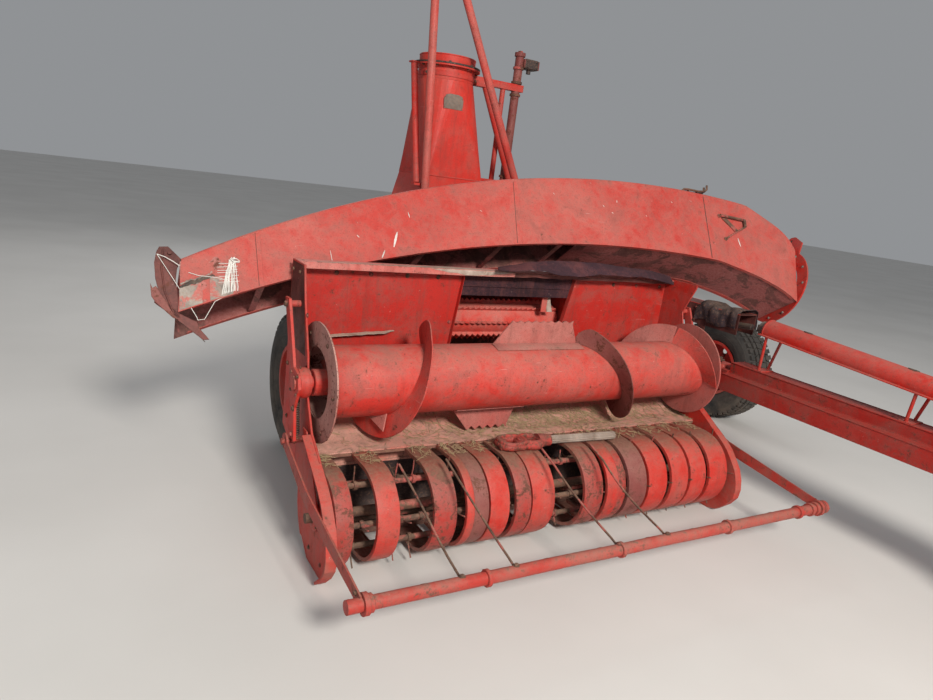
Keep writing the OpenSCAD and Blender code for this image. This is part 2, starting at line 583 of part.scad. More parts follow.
// ---------------------------------------------------------------- feed rolls
module feed_roll(y, z, r) {
  tube_x(u_lo + 12, u_hi - 12, y, z, r - 26);
  tube_x(u_lo - 34, u_hi + 34, y, z, 20);
  for (k = [0:7]) translate([unit_x, y, z]) rotate([k * 45, 0, 0])
    translate([-unit_w / 2 + 14, -4, r - 30]) cube([unit_w - 28, 8, 30]);
}
module upper_feed_roll() color(RED) place() feed_roll(470, 860, 110);
module lower_feed_roll() color(RED) place() feed_roll(440, 600, 100);

// ---------------------------------------------------------------- wind guard
module wind_guard() color(RED) place() {
  tube_x(-guard_half, guard_half, guard_y, guard_z, 24);
  for (s = [-1, 1]) {
    along_x(s > 0 ? 1157 : -1167, s > 0 ? 1167 : -1157) union() {
      polygon([[guard_y, guard_z - 14], [-270, 312], [30, 420], [40, 474], [-280, 372], [guard_y, guard_z + 30]]);
      translate([20, 450]) circle(r = 34, $fn = 48);
    }
    tube_x(s > 0 ? 1088 : -1180, s > 0 ? 1180 : -1088, 20, 450, 12);
  }
  // the four rods that are left
  for (x = [-800, -580, -100, 160]) {
    rod([x, guard_y + 4, guard_z + 10], [x - 14, -430, 428], 5, 24);
    translate([x - 14, -430, 428]) sphere(r = 7.5, $fn = 32);
    rod([x - 14, -430, 428], [x - 20, -330, 470], 5, 24);
  }
}

// ---------------------------------------------------------------- drawbar
module drawbar_beam() color(RED) place() {
  z1 = draw_z; z0 = draw_z - 95;
  difference() {
    union() {
      box([draw_x - 90, draw_front_y, z0], [draw_x + 90, 20, z1]);
      box([draw_x - 20, draw_front_y, z1], [draw_x + 90, 20, z1 + 62]);
      // rear tongue and pin in the pivot
      box([draw_x - 45, 20, 571], [draw_x + 45, draw_pivot_y, 659]);
      translate([draw_x, draw_pivot_y, 571]) cylinder(r = 45, h = 88, $fn = 64);
      translate([draw_x, draw_pivot_y, 532]) cylinder(r = 20, h = 170, $fn = 64);
      // front tongue with the hitch eye
      box([draw_x - 40, draw_front_y - 120, z0 + 20], [draw_x + 40, draw_front_y, z0 + 60]);
      translate([draw_x, draw_front_y - 150, z0 + 20]) cylinder(r = 55, h = 40, $fn = 64);
      // pin of the parking jack
      tube_x(draw_x - 180, draw_x - 90, JY, JZ, 15);
    }
    translate([draw_x, draw_front_y - 150, 500]) cylinder(r = 20, h = 200, $fn = 64);
  }
}
GX = 1500;   // middle of the shaft guard
GA = [GX, -130, 945]; GB = [GX, -2160, 817];
GS = atan2(GA[2] - GB[2], GA[1] - GB[1]);
GL = norm(GA - GB);
module along_shaft() { translate(GB) rotate([90 + GS, 0, 0]) mirror([0, 0, 1]) children(); }
module pto_guard() color(RED) place() {
  along_shaft() linear_extrude(GL) difference() {
    union() {
      circle(r = 62, $fn = 64);
      translate([-86, -22]) square([172, 5]);
    }
    circle(r = 57, $fn = 64);
    translate([-57, -70]) square([114, 60]);
    translate([-90, -90]) square([180, 68]);
  }
  // straps down to the drawbar
  for (y = [-180, -1000, -1960]) let (zf = GA[2] - 22 + (y - GA[1]) * tan(GS)) {
    for (s = [-1, 1]) rod([GX + s * 74, y, zf - 1], [GX + s * 40, y + 26, draw_z + 68], 8, 24);
    box([draw_x - 18, y - 5, draw_z + 62], [draw_x + 88, y + 55, draw_z + 68]);
  }
}
module pto_shaft() color(STEEL) place() along_shaft() {
  translate([0, 0, -150]) cylinder(r = 17.5, h = 200, $fn = 48);
  translate([0, 0, 50]) cylinder(r = 30, h = GL - 110, $fn = 48);
  translate([0, 0, GL - 60]) cylinder(r = 42, h = 100, $fn = 48);
}
JY = -1930;          // parking jack's pin
JZ = draw_z - 50;
module parking_jack() color(RED) place() {
  difference() {
    union() {
      box([draw_x - 166, JY - 30, 150], [draw_x - 106, JY + 30, JZ + 50]);
      box([draw_x - 236, JY - 80, 0], [draw_x - 98, JY + 80, 10]);
      box([draw_x - 158, JY - 22, 10], [draw_x - 114, JY + 22, 150]);
    }
    tube_x(draw_x - 200, draw_x - 80, JY, JZ, 15.5);
  }
  // crank on top
  translate([draw_x - 136, JY, JZ + 50]) cylinder(r = 10, h = 60, $fn = 32);
  rod([draw_x - 136, JY, JZ + 96], [draw_x - 136, JY - 110, JZ + 96], 8, 24);
}

axle();
main_frame();
drum_housing();
cutting_drum();
discharge_tower();
tower_collar();
tower_stays();
spout_turning_post();
derrick_frame();
gearbox();
input_shaft_shield();
drive_cover();
feed_drive_cover();
cross_shaft_guard();
trailer_hitch();
tyre_left();
rim_left();
tyre_right();
rim_right();
turntable_ring();
lift_cylinder_barrel();
lift_cylinder_rod();
header_wall();
header_trough();
header_side_left();
header_side_right();
feeder_box();
auger_arms();
stripper_bands();
header_chain_drive();
spout_chute();
spout_base_flange();
loose_yoke();
spout_flap();
auger_body();
auger_flights();
reel_frame();
reel_tines();
upper_feed_roll();
lower_feed_roll();
wind_guard();
drawbar_beam();
pto_guard();
pto_shaft();
parking_jack();
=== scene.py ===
import json
import math
import random
import bpy
from mathutils import Vector, Matrix, noise


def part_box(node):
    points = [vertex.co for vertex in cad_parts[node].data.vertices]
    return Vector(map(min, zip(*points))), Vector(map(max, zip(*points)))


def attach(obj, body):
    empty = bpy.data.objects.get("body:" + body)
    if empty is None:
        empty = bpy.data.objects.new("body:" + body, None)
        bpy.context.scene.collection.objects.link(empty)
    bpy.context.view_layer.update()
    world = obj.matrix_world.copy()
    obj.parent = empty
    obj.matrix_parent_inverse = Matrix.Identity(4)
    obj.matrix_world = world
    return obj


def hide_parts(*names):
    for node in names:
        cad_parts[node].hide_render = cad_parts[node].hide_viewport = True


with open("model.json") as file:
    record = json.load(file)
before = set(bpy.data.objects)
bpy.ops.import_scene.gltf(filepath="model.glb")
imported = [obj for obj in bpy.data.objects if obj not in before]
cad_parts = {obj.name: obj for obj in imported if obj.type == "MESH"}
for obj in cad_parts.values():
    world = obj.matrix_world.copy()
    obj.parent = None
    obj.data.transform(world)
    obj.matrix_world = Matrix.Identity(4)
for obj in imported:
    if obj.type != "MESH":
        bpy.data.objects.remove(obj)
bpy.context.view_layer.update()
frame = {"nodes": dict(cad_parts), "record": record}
NODES = frame["nodes"]
random.seed(7)

# ---------------------------------------------------------------- places
# builder's millimetres (X = 0 header's middle, Y = 0 auger's axis) to metres in the shared frame
_lo, _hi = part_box("axle")
OX = _lo[0] * 1000 + 855
OY = (_lo[1] + _hi[1]) * 500 - 930


def P(x, y, z):
    return Vector(((x + OX) / 1000, (y + OY) / 1000, z / 1000))


def sub(a, b): return [a[i] - b[i] for i in range(3)]
def add(a, b, k=1.0): return [a[i] + b[i] * k for i in range(3)]


# spout frame: u along its length, w up its side plate, n through its width
YAW, TILT = math.radians(5.2), math.radians(34)


def _rz(v):
    c, s = math.cos(-YAW), math.sin(-YAW)
    return [c * v[0] - s * v[1], s * v[0] + c * v[1], v[2]]


SU = _rz([1, 0, 0])
SN = _rz([0, math.cos(TILT), -math.sin(TILT)])
SW = _rz([0, math.sin(TILT), math.cos(TILT)])
S0 = [30, 352, 1268]
SPOUT_T = 320


def SP(u, w, n):
    return [S0[i] + u * SU[i] + w * SW[i] + n * SN[i] for i in range(3)]


def top_at(u): return 474 - 5250 + math.sqrt(5250 ** 2 - (u - 1000) ** 2)
def low_at(u): return 47 - 5926 + math.sqrt(5926 ** 2 - (u - 744) ** 2)


# ---------------------------------------------------------------- materials
def _n(nt, kind, **kw):
    node = nt.nodes.new(kind)
    for k, v in kw.items():
        if k in node.inputs:
            node.inputs[k].default_value = v
        else:
            setattr(node, k, v)
    return node


class Graph:
    def __init__(self, name):
        self.mat = bpy.data.materials.new(name)
        self.mat.use_nodes = True
        self.nt = self.mat.node_tree
        self.nt.nodes.clear()
        self.out = _n(self.nt, "ShaderNodeOutputMaterial")
        self.bsdf = _n(self.nt, "ShaderNodeBsdfPrincipled")
        self.link(self.bsdf.outputs[0], self.out.inputs[0])
        self.tc = _n(self.nt, "ShaderNodeTexCoord")
        self.geo = _n(self.nt, "ShaderNodeNewGeometry")

    def link(self, a, b):
        self.nt.links.new(a, b)

    def _in(self, node, i, v):
        if hasattr(v, "links"):
            self.link(v, node.inputs[i])
        elif v is not None:
            node.inputs[i].default_value = v

    def mapped(self, scale=(1, 1, 1), rot=(0, 0, 0), loc=(0, 0, 0)):
        m = _n(self.nt, "ShaderNodeMapping")
        self.link(self.tc.outputs["Object"], m.inputs[0])
        m.inputs["Scale"].default_value = scale
        m.inputs["Rotation"].default_value = rot
        m.inputs["Location"].default_value = loc
        return m.outputs[0]

    def noise(self, scale, detail=4.0, rough=0.55, distort=0.0, vec=None):
        t = _n(self.nt, "ShaderNodeTexNoise")
        self.link(vec or self.tc.outputs["Object"], t.inputs["Vector"])
        t.inputs["Scale"].default_value = scale
        t.inputs["Detail"].default_value = detail
        t.inputs["Roughness"].default_value = rough
        t.inputs["Distortion"].default_value = distort
        return t.outputs[0]

    def voro(self, scale, feature="DISTANCE_TO_EDGE", vec=None):
        t = _n(self.nt, "ShaderNodeTexVoronoi")
        t.feature = feature
        self.link(vec or self.tc.outputs["Object"], t.inputs["Vector"])
        t.inputs["Scale"].default_value = scale
        return t.outputs["Distance"]

    def math(self, op, a, b=None, c=None, clamp=False):
        m = _n(self.nt, "ShaderNodeMath")
        m.operation = op
        m.use_clamp = clamp
        self._in(m, 0, a)
        self._in(m, 1, b)
        self._in(m, 2, c)
        return m.outputs[0]

    def ramp(self, v, lo, hi, a=0.0, b=1.0):
        m = _n(self.nt, "ShaderNodeMapRange")
        m.clamp = True
        self.link(v, m.inputs["Value"])
        m.inputs["From Min"].default_value = lo
        m.inputs["From Max"].default_value = hi
        m.inputs["To Min"].default_value = a
        m.inputs["To Max"].default_value = b
        return m.outputs[0]

    def mix(self, f, a, b):
        m = _n(self.nt, "ShaderNodeMix")
        m.data_type = "RGBA"
        self._in(m, 0, f)
        for i, v in ((6, a), (7, b)):
            if hasattr(v, "links"):
                self.link(v, m.inputs[i])
            else:
                m.inputs[i].default_value = (*v, 1.0)
        return m.outputs[2]

    def up(self):
        s = _n(self.nt, "ShaderNodeSeparateXYZ")
        self.link(self.geo.outputs["Normal"], s.inputs[0])
        return s.outputs[2]

    def height(self):
        s = _n(self.nt, "ShaderNodeSeparateXYZ")
        self.link(self.tc.outputs["Object"], s.inputs[0])
        return s.outputs[2]

    def edge(self, radius):
        """1 at edges and corners, 0 on flat faces; also the rounded normal."""
        bv = _n(self.nt, "ShaderNodeBevel")
        bv.samples = 4
        bv.inputs["Radius"].default_value = radius
        d = _n(self.nt, "ShaderNodeVectorMath")
        d.operation = "DOT_PRODUCT"
        self.link(bv.outputs[0], d.inputs[0])
        self.link(self.geo.outputs["Normal"], d.inputs[1])
        return self.ramp(d.outputs["Value"], 0.995, 0.80), bv.outputs[0]

    def bump(self, h, strength, distance, normal=None):
        b = _n(self.nt, "ShaderNodeBump")
        b.inputs["Strength"].default_value = strength
        b.inputs["Distance"].default_value = distance
        self.link(h, b.inputs["Height"])
        if normal is not None:
            self.link(normal, b.inputs["Normal"])
        return b.outputs[0]


def paint(name, base, faded, fade=0.5, rust=0.35, dust=0.35, low_dust=0.6, scratch=0.5, round_r=0.003, seed=0.0, streaks=0.35, grime_and_shade=0.5, rough=0.55, zones=()):
    """Old sprayed paint: patches of full colour between sun-faded and dirty ones, chipped to rust."""
    g = Graph(name)
    off = g.mapped(loc=(seed, seed * 0.7, -seed))
    big = g.noise(1.5, 4, 0.6, 0.6, off)
    med = g.noise(5.2, 5, 0.62, 0.9, off)
    mid = g.noise(17.0, 6, 0.68, 0.5, off)
    fine = g.noise(75.0, 5, 0.72, 0.2, off)
    grain = g.noise(390.0, 2, 0.6, 0.0, off)
    up = g.up()
    edge, rnd = g.edge(round_r)
    # sun-faded patches
    w = g.math("ADD", g.math("MULTIPLY", big, 0.42), g.math("ADD", g.math("MULTIPLY", med, 0.34), g.math("MULTIPLY", mid, 0.24)))
    c = 0.5 - (fade - 0.5) * 0.30
    f = g.math("ADD", g.ramp(w, c - 0.075, c + 0.085), g.ramp(up, -0.2, 1.0, -0.22, 0.22), clamp=True)
    f = g.math("MULTIPLY", f, g.ramp(fine, 0.28, 0.62, 0.55, 1.0))
    col = g.mix(f, base, faded)
    # darker blotches of the coat and fine specks of dirt
    dark = tuple(x * 0.40 for x in base)
    col = g.mix(g.ramp(mid, 0.54, 0.74, 0.0, 0.50), col, dark)
    gm = g.ramp(g.math("ADD", g.math("MULTIPLY", med, 0.62), g.math("MULTIPLY", fine, 0.38)), 0.47, 0.62)
    col = g.mix(g.math("MULTIPLY", gm, grime_and_shade * 0.85), col, (0.235, 0.062, 0.050))
    sp = g.ramp(g.noise(170.0, 3, 0.6, 0.0, off), 0.56, 0.68)
    col = g.mix(g.math("MULTIPLY", sp, 0.20 + 0.40 * grime_and_shade), col, (0.125, 0.026, 0.021))
    # pale worn specks
    ps = g.ramp(g.noise(46.0, 4, 0.7, 0.4, off), 0.69, 0.73)
    col = g.mix(g.math("MULTIPLY", ps, 0.6), col, (0.58, 0.34, 0.30))
    # run-off streaks on standing faces
    st = g.noise(1.0, 5, 0.7, 0.0, g.mapped(scale=(30, 30, 2.0), loc=(seed, 0, 0)))
    sm = g.math("MULTIPLY", g.ramp(st, 0.50, 0.72), g.ramp(up, 0.75, 0.1))
    col = g.mix(g.math("MULTIPLY", sm, streaks), col, (0.13, 0.040, 0.030))
    # scratches
    sa = g.noise(1.0, 3, 0.5, 0.15, g.mapped(scale=(7, 7, 260), rot=(0.5, 0.35, 0.2), loc=(seed, 0, 0)))
    sb = g.noise(1.0, 3, 0.5, 0.15, g.mapped(scale=(9, 9, 300), rot=(1.2, 0.2, 1.0), loc=(0, seed, 0)))
    scm = g.math("MULTIPLY", g.ramp(g.math("MAXIMUM", sa, sb), 0.715, 0.75), g.ramp(big, 0.47, 0.60))
    col = g.mix(g.math("MULTIPLY", scm, scratch * 0.6), col, (0.60, 0.40, 0.36))
    # rust: patches, chips and edges
    rm = g.math("ADD", g.math("MULTIPLY", mid, 0.58), g.math("MULTIPLY", fine, 0.42))
    patch = g.ramp(rm, 0.66 - 0.15 * rust, 0.70 - 0.13 * rust)
    chips = g.ramp(g.noise(30.0, 6, 0.75, 0.8, off), 0.725 - 0.10 * rust, 0.745 - 0.10 * rust)
    em = g.math("MULTIPLY", edge, g.ramp(fine, 0.62 - 0.30 * rust, 0.70 - 0.22 * rust))
    rmask = g.math("MAXIMUM", g.math("MAXIMUM", patch, chips), em, clamp=True)
    rcol = g.mix(g.ramp(fine, 0.35, 0.68), (0.042, 0.014, 0.011), (0.135, 0.040, 0.025))
    rcol = g.mix(g.ramp(grain, 0.45, 0.7, 0, 0.5), rcol, (0.22, 0.082, 0.048))
    col = g.mix(rmask, col, rcol)
    # dust on top faces and near the ground
    dm = g.math("MULTIPLY", g.ramp(up, 0.35, 1.0), g.ramp(mid, 0.38, 0.64))
    lo = g.math("MULTIPLY", g.ramp(g.height(), 0.50, 0.02), g.ramp(med, 0.35, 0.65, 0.2, 1.0))
    dust_m = g.math("ADD", g.math("MULTIPLY", dm, dust * 0.7), g.math("MULTIPLY", lo, low_dust * 0.5), clamp=True)
    col = g.mix(dust_m, col, g.mix(fine, (0.27, 0.155, 0.11), (0.42, 0.28, 0.215)))
    # bands of settled dirt between two heights
    for z0, z1, amt, ca, cb in zones:
        hz = g.math("ADD", g.height(), g.math("MULTIPLY", g.math("SUBTRACT", med, 0.5), 0.10))
        zm = g.math("MULTIPLY", g.ramp(hz, z0, z1), g.ramp(fine, 0.25, 0.60, amt * 0.55, amt))
        col = g.mix(zm, col, g.mix(g.ramp(fine, 0.35, 0.65), ca, cb))
    g.link(col, g.bsdf.inputs["Base Color"])
    r = g.math("ADD", g.ramp(mid, 0.3, 0.7, rough - 0.10, rough + 0.12), g.math("MULTIPLY", rmask, 0.25))
    r = g.math("ADD", r, g.math("MULTIPLY", dust_m, 0.25), clamp=True)
    g.link(r, g.bsdf.inputs["Roughness"])
    g.bsdf.inputs["Specular IOR Level"].default_value = 0.30
    h = g.math("ADD", g.math("MULTIPLY", fine, 0.40), g.math("MULTIPLY", g.math("MULTIPLY", rmask, grain), 1.3))
    h = g.math("ADD", h, g.math("MULTIPLY", mid, 0.7))
    g.link(g.bump(h, 0.36, 0.0026, rnd), g.bsdf.inputs["Normal"])
    return g.mat


def rusty(name, dark=(0.055, 0.024, 0.016), light=(0.20, 0.085, 0.042), paint_col=None, paint_amt=0.0, dust=0.4, shine=0.0, metal=0.0, seed=0.0, bare=None):
    """Steel that has lost its paint: layered brown rust with some paint or bare steel left."""
    g = Graph(name)
    off = g.mapped(loc=(seed, -seed, seed * 0.5))
    mid = g.noise(11.0, 9, 0.7, 0.5, off)
    fine = g.noise(85.0, 8, 0.72, 0.2, off)
    grain = g.noise(480.0, 4, 0.6, 0.0, off)
    up = g.up()
    edge, rnd = g.edge(0.003)
    col = g.mix(g.ramp(mid, 0.34, 0.68), dark, light)
    col = g.mix(g.ramp(fine, 0.52, 0.75, 0, 0.7), col, (0.32, 0.135, 0.06))
    col = g.mix(g.ramp(grain, 0.52, 0.8, 0, 0.45), col, (0.036, 0.02, 0.016))
    if paint_col:
        pm = g.ramp(g.noise(6.5, 9, 0.72, 0.7, off), 0.60 - 0.25 * paint_amt, 0.64 - 0.22 * paint_amt)
        pm = g.math("MULTIPLY", pm, g.ramp(edge, 0.7, 0.1))
        pc = g.mix(g.ramp(fine, 0.35, 0.7), paint_col, tuple(min(1, c * 1.3 + 0.05) for c in paint_col))
        col = g.mix(pm, col, pc)
    if bare:
        col = g.mix(g.math("MULTIPLY", edge, g.ramp(fine, 0.35, 0.5)), col, bare)
    dm = g.math("MULTIPLY", g.ramp(up, 0.1, 0.95), g.ramp(mid, 0.30, 0.62))
    lo = g.math("MULTIPLY", g.ramp(g.height(), 0.5, 0.02), 0.35)
    dust_m = g.math("MULTIPLY", g.math("ADD", dm, lo, clamp=True), dust)
    col = g.mix(dust_m, col, g.mix(fine, (0.26, 0.18, 0.12), (0.42, 0.33, 0.24)))
    g.link(col, g.bsdf.inputs["Base Color"])
    g.link(g.ramp(fine, 0.3, 0.75, 0.95 - shine, 0.62 - shine), g.bsdf.inputs["Roughness"])
    g.bsdf.inputs["Metallic"].default_value = metal
    h = g.math("ADD", g.math("MULTIPLY", fine, 0.8), g.math("MULTIPLY", grain, 0.5))
    g.link(g.bump(h, 0.5, 0.0025, rnd), g.bsdf.inputs["Normal"])
    return g.mat


def rubber(name):
    g = Graph(name)
    mid = g.noise(7.0, 8, 0.65, 0.3)
    fine = g.noise(120.0, 8, 0.7)
    crack = g.voro(60.0)
    edge, rnd = g.edge(0.004)
    col = g.mix(g.ramp(mid, 0.3, 0.75), (0.018, 0.017, 0.017), (0.060, 0.055, 0.050))
    lo = g.math("MULTIPLY", g.ramp(mid, 0.35, 0.65), g.ramp(g.height(), 0.62, 0.0, 0.12, 0.80))
    col = g.mix(lo, col, g.mix(fine, (0.12, 0.090, 0.066), (0.20, 0.155, 0.118)))
    col = g.mix(g.math("MULTIPLY", edge, 0.35), col, (0.12, 0.105, 0.09))
    g.link(col, g.bsdf.inputs["Base Color"])
    g.link(g.ramp(fine, 0.3, 0.7, 0.68, 0.92), g.bsdf.inputs["Roughness"])
    h = g.math("ADD", g.math("MULTIPLY", fine, 0.5), g.ramp(crack, 0.03, 0.0, 0.0, -0.6))
    g.link(g.bump(h, 0.45, 0.002, rnd), g.bsdf.inputs["Normal"])
    return g.mat


def floor_mat():
    g = Graph("floor_plaster")
    a = g.noise(0.8, 4, 0.5)
    b = g.noise(60.0, 6, 0.6)
    g.link(g.mix(g.ramp(a, 0.3, 0.7), (0.60, 0.585, 0.56), (0.66, 0.645, 0.62)), g.bsdf.inputs["Base Color"])
    g.bsdf.inputs["Roughness"].default_value = 0.9
    g.link(g.bump(b, 0.15, 0.002), g.bsdf.inputs["Normal"])
    return g.mat


RED = (0.48, 0.020, 0.012)
FADE = (0.49, 0.095, 0.075)
PINK = (0.50, 0.135, 0.110)
MATS = {
    "red_paint": paint("red_paint", RED, FADE, fade=0.45, rust=0.42, seed=1.3),
    "faded_paint": paint("faded_paint", (0.47, 0.042, 0.032), PINK, fade=0.62, rust=0.28, dust=0.35, scratch=0.9, grime_and_shade=0.55, seed=4.1),
    "rusty_steel": rusty("rusty_steel", dark=(0.040, 0.018, 0.013), light=(0.15, 0.062, 0.036), paint_col=(0.30, 0.040, 0.030), paint_amt=0.35, dust=0.3, seed=2.2),
    # dusty pan paint: real dust, made paler still; the extra paleness is painted light where the auger shades the pan
    "dusty_pan": paint("dusty_pan", (0.58, 0.19, 0.145), (0.72, 0.43, 0.34), fade=0.60, rust=0.60, dust=1.0, low_dust=0.7, grime_and_shade=0.4, rough=0.7, seed=6.6),
    "bright_steel": rusty("bright_steel", dark=(0.12, 0.10, 0.09), light=(0.28, 0.25, 0.22), dust=0.35, shine=0.25, metal=0.6, seed=3.1, bare=(0.5, 0.47, 0.44)),
    "dark_iron": rusty("dark_iron", dark=(0.020, 0.014, 0.013), light=(0.065, 0.040, 0.033), dust=0.3, shine=0.12, seed=5.5),
    "tyre_rubber": rubber("tyre_rubber"),
}
ZONES = ((0.375, 0.420, 0.85, (0.13, 0.062, 0.042), (0.26, 0.145, 0.095)), (0.125, 0.045, 0.75, (0.20, 0.105, 0.080), (0.36, 0.23, 0.175)))
M_BAND = paint("band_paint", (0.50, 0.026, 0.017), (0.50, 0.110, 0.085), fade=0.42, rust=0.55, dust=0.30, low_dust=0.1, grime_and_shade=0.5, seed=9.2, zones=ZONES)
M_BAND2 = paint("band_paint_worn", (0.38, 0.030, 0.023), (0.34, 0.105, 0.085), fade=0.50, rust=0.95, dust=0.40, low_dust=0.2, grime_and_shade=0.95, seed=19.7, zones=ZONES)
M_BANDW = paint("band_worn_sheet", (0.20, 0.050, 0.044), (0.29, 0.125, 0.105), fade=0.55, rust=0.8, dust=0.35, low_dust=0.2, grime_and_shade=0.9, rough=0.6, seed=27.4, zones=ZONES)
M_BAR = paint("beam_paint", (0.36, 0.020, 0.014), (0.34, 0.062, 0.048), fade=0.42, rust=0.62, dust=0.12, low_dust=0.2, grime_and_shade=0.9, seed=34.2)
M_YOKE = paint("yoke_paint", (0.42, 0.034, 0.025), (0.32, 0.085, 0.066), fade=0.45, rust=1.15, dust=0.55, low_dust=0.2, grime_and_shade=1.0, rough=0.62, seed=37.5)
M_STAIN = paint("stained_end", (0.40, 0.060, 0.050), (0.48, 0.21, 0.18), fade=0.72, rust=0.80, dust=0.1, scratch=1.0, grime_and_shade=0.9, seed=51.3)
# near-black rag: painted shade, behind the reel and on the cover over the shaft shield
M_SHADE_RAG = rusty("rag_painted_shade", dark=(0.016, 0.010, 0.013), light=(0.050, 0.026, 0.032), dust=0.25, seed=14.4)
M_PLATE = rusty("plate_metal", dark=(0.085, 0.062, 0.050), light=(0.23, 0.185, 0.150), dust=0.1, shine=0.15, seed=17.7)
# darker worn paint; on the turning post and the first stretch of the right-hand flight it is painted shade
M_WORN_AND_SHADE = paint("worn_and_shaded_sheet", (0.175, 0.040, 0.036), (0.27, 0.115, 0.098), fade=0.50, rust=0.85, dust=0.35, low_dust=0.3, grime_and_shade=0.9, rough=0.6, seed=21.4)
# inside of the spout: rust with worn paint, made paler; the extra paleness is painted light inside the spout
M_INNER = rusty("spout_inner_painted_light", dark=(0.085, 0.030, 0.027), light=(0.22, 0.075, 0.066), paint_col=(0.26, 0.062, 0.054), paint_amt=0.55, dust=0.15, seed=8.8)
# near-black sheet: its colour is painted shade, on the slid sheet over the rail and on the sheet that closes the
# feeder
M_SHADE_SHEET = paint("slid_sheet_painted_shade", (0.020, 0.008, 0.012), (0.050, 0.021, 0.030), fade=0.50, rust=0.12, dust=0.04, low_dust=0.0, scratch=0.15, grime_and_shade=0.35, rough=0.85, seed=61.0)
# rail paint, pale from fading and made paler still: the extra paleness is painted light on the rail
M_RAIL = paint("rail_paint_painted_light", (0.52, 0.085, 0.068), (0.60, 0.27, 0.235), fade=0.70, rust=0.45, dust=0.2, scratch=0.9, grime_and_shade=0.45, seed=63.2)
# worn paint of the left-hand ring, made paler: the extra paleness is painted light on a face turned from the lamp
M_RING = paint("ring_worn_painted_light", (0.34, 0.115, 0.096), (0.52, 0.32, 0.27), fade=0.60, rust=0.85, dust=0.35, low_dust=0.3, grime_and_shade=0.7, rough=0.6, seed=65.1)
M_ROLL = paint("roll_paint", (0.56, 0.055, 0.040), (0.58, 0.22, 0.18), fade=0.50, rust=0.30, dust=0.15, low_dust=0.0, grime_and_shade=0.35, seed=67.3)
M_WALL = paint("wall_paint", (0.43, 0.018, 0.012), (0.42, 0.066, 0.050), fade=0.36, rust=0.50, dust=0.2, scratch=0.7, streaks=0.5, grime_and_shade=0.65, seed=12.4)
M_TOWER = paint("tower_paint", (0.53, 0.026, 0.016), (0.52, 0.080, 0.058), fade=0.42, rust=0.22, dust=0.2, scratch=0.4, streaks=0.35, grime_and_shade=0.25, seed=31.0)
M_AUGER = paint("auger_paint", (0.51, 0.030, 0.021), (0.50, 0.125, 0.100), fade=0.52, rust=0.52, dust=0.50, scratch=0.9, grime_and_shade=0.6, seed=15.1)
M_DUSTY = paint("dusty_sheet", (0.40, 0.085, 0.070), (0.46, 0.185, 0.155), fade=0.62, rust=0.40, dust=0.6, scratch=0.4, grime_and_shade=0.75, rough=0.68, seed=24.7)
M_DARK = paint("dark_sheet", (0.062, 0.017, 0.015), (0.125, 0.047, 0.042), fade=0.50, rust=0.7, dust=0.3, low_dust=0.2, grime_and_shade=0.6, rough=0.6, seed=41.0)
M_GUARD = paint("guard_paint", (0.40, 0.024, 0.017), (0.42, 0.085, 0.066), fade=0.45, rust=0.75, dust=0.45, low_dust=0.9, grime_and_shade=0.8, seed=44.3)
M_TORN = rusty("torn_edge", dark=(0.20, 0.14, 0.11), light=(0.56, 0.45, 0.38), dust=0.5, seed=17.0)
M_GREY = rusty("bare_patch", dark=(0.12, 0.092, 0.080), light=(0.44, 0.39, 0.345), paint_col=(0.40, 0.085, 0.070), paint_amt=0.22, dust=0.30, shine=0.05, seed=18.0)
M_STEEL = rusty("splined_steel", dark=(0.17, 0.125, 0.10), light=(0.40, 0.33, 0.285), dust=0.35, shine=0.15, seed=19.5)
M_CHIP = rusty("bare_marks", dark=(0.52, 0.46, 0.42), light=(0.80, 0.74, 0.70), dust=0.1, seed=27.0)


def straw_mat(name, a, b):
    g = Graph(name)
    n1 = g.noise(14.0, 4, 0.6)
    n2 = g.noise(160.0, 4, 0.6, 0.0, g.mapped(scale=(1, 6, 1)))
    g.link(g.mix(n1, a, b), g.bsdf.inputs["Base Color"])
    g.link(g.ramp(n2, 0.3, 0.7, 0.65, 0.9), g.bsdf.inputs["Roughness"])
    g.link(g.bump(n2, 0.3, 0.0006), g.bsdf.inputs["Normal"])
    return g.mat


M_STRAW = straw_mat("dry_chaff", (0.30, 0.21, 0.11), (0.48, 0.38, 0.22))
M_TWINE = straw_mat("white_twine", (0.62, 0.60, 0.55), (0.78, 0.76, 0.72))


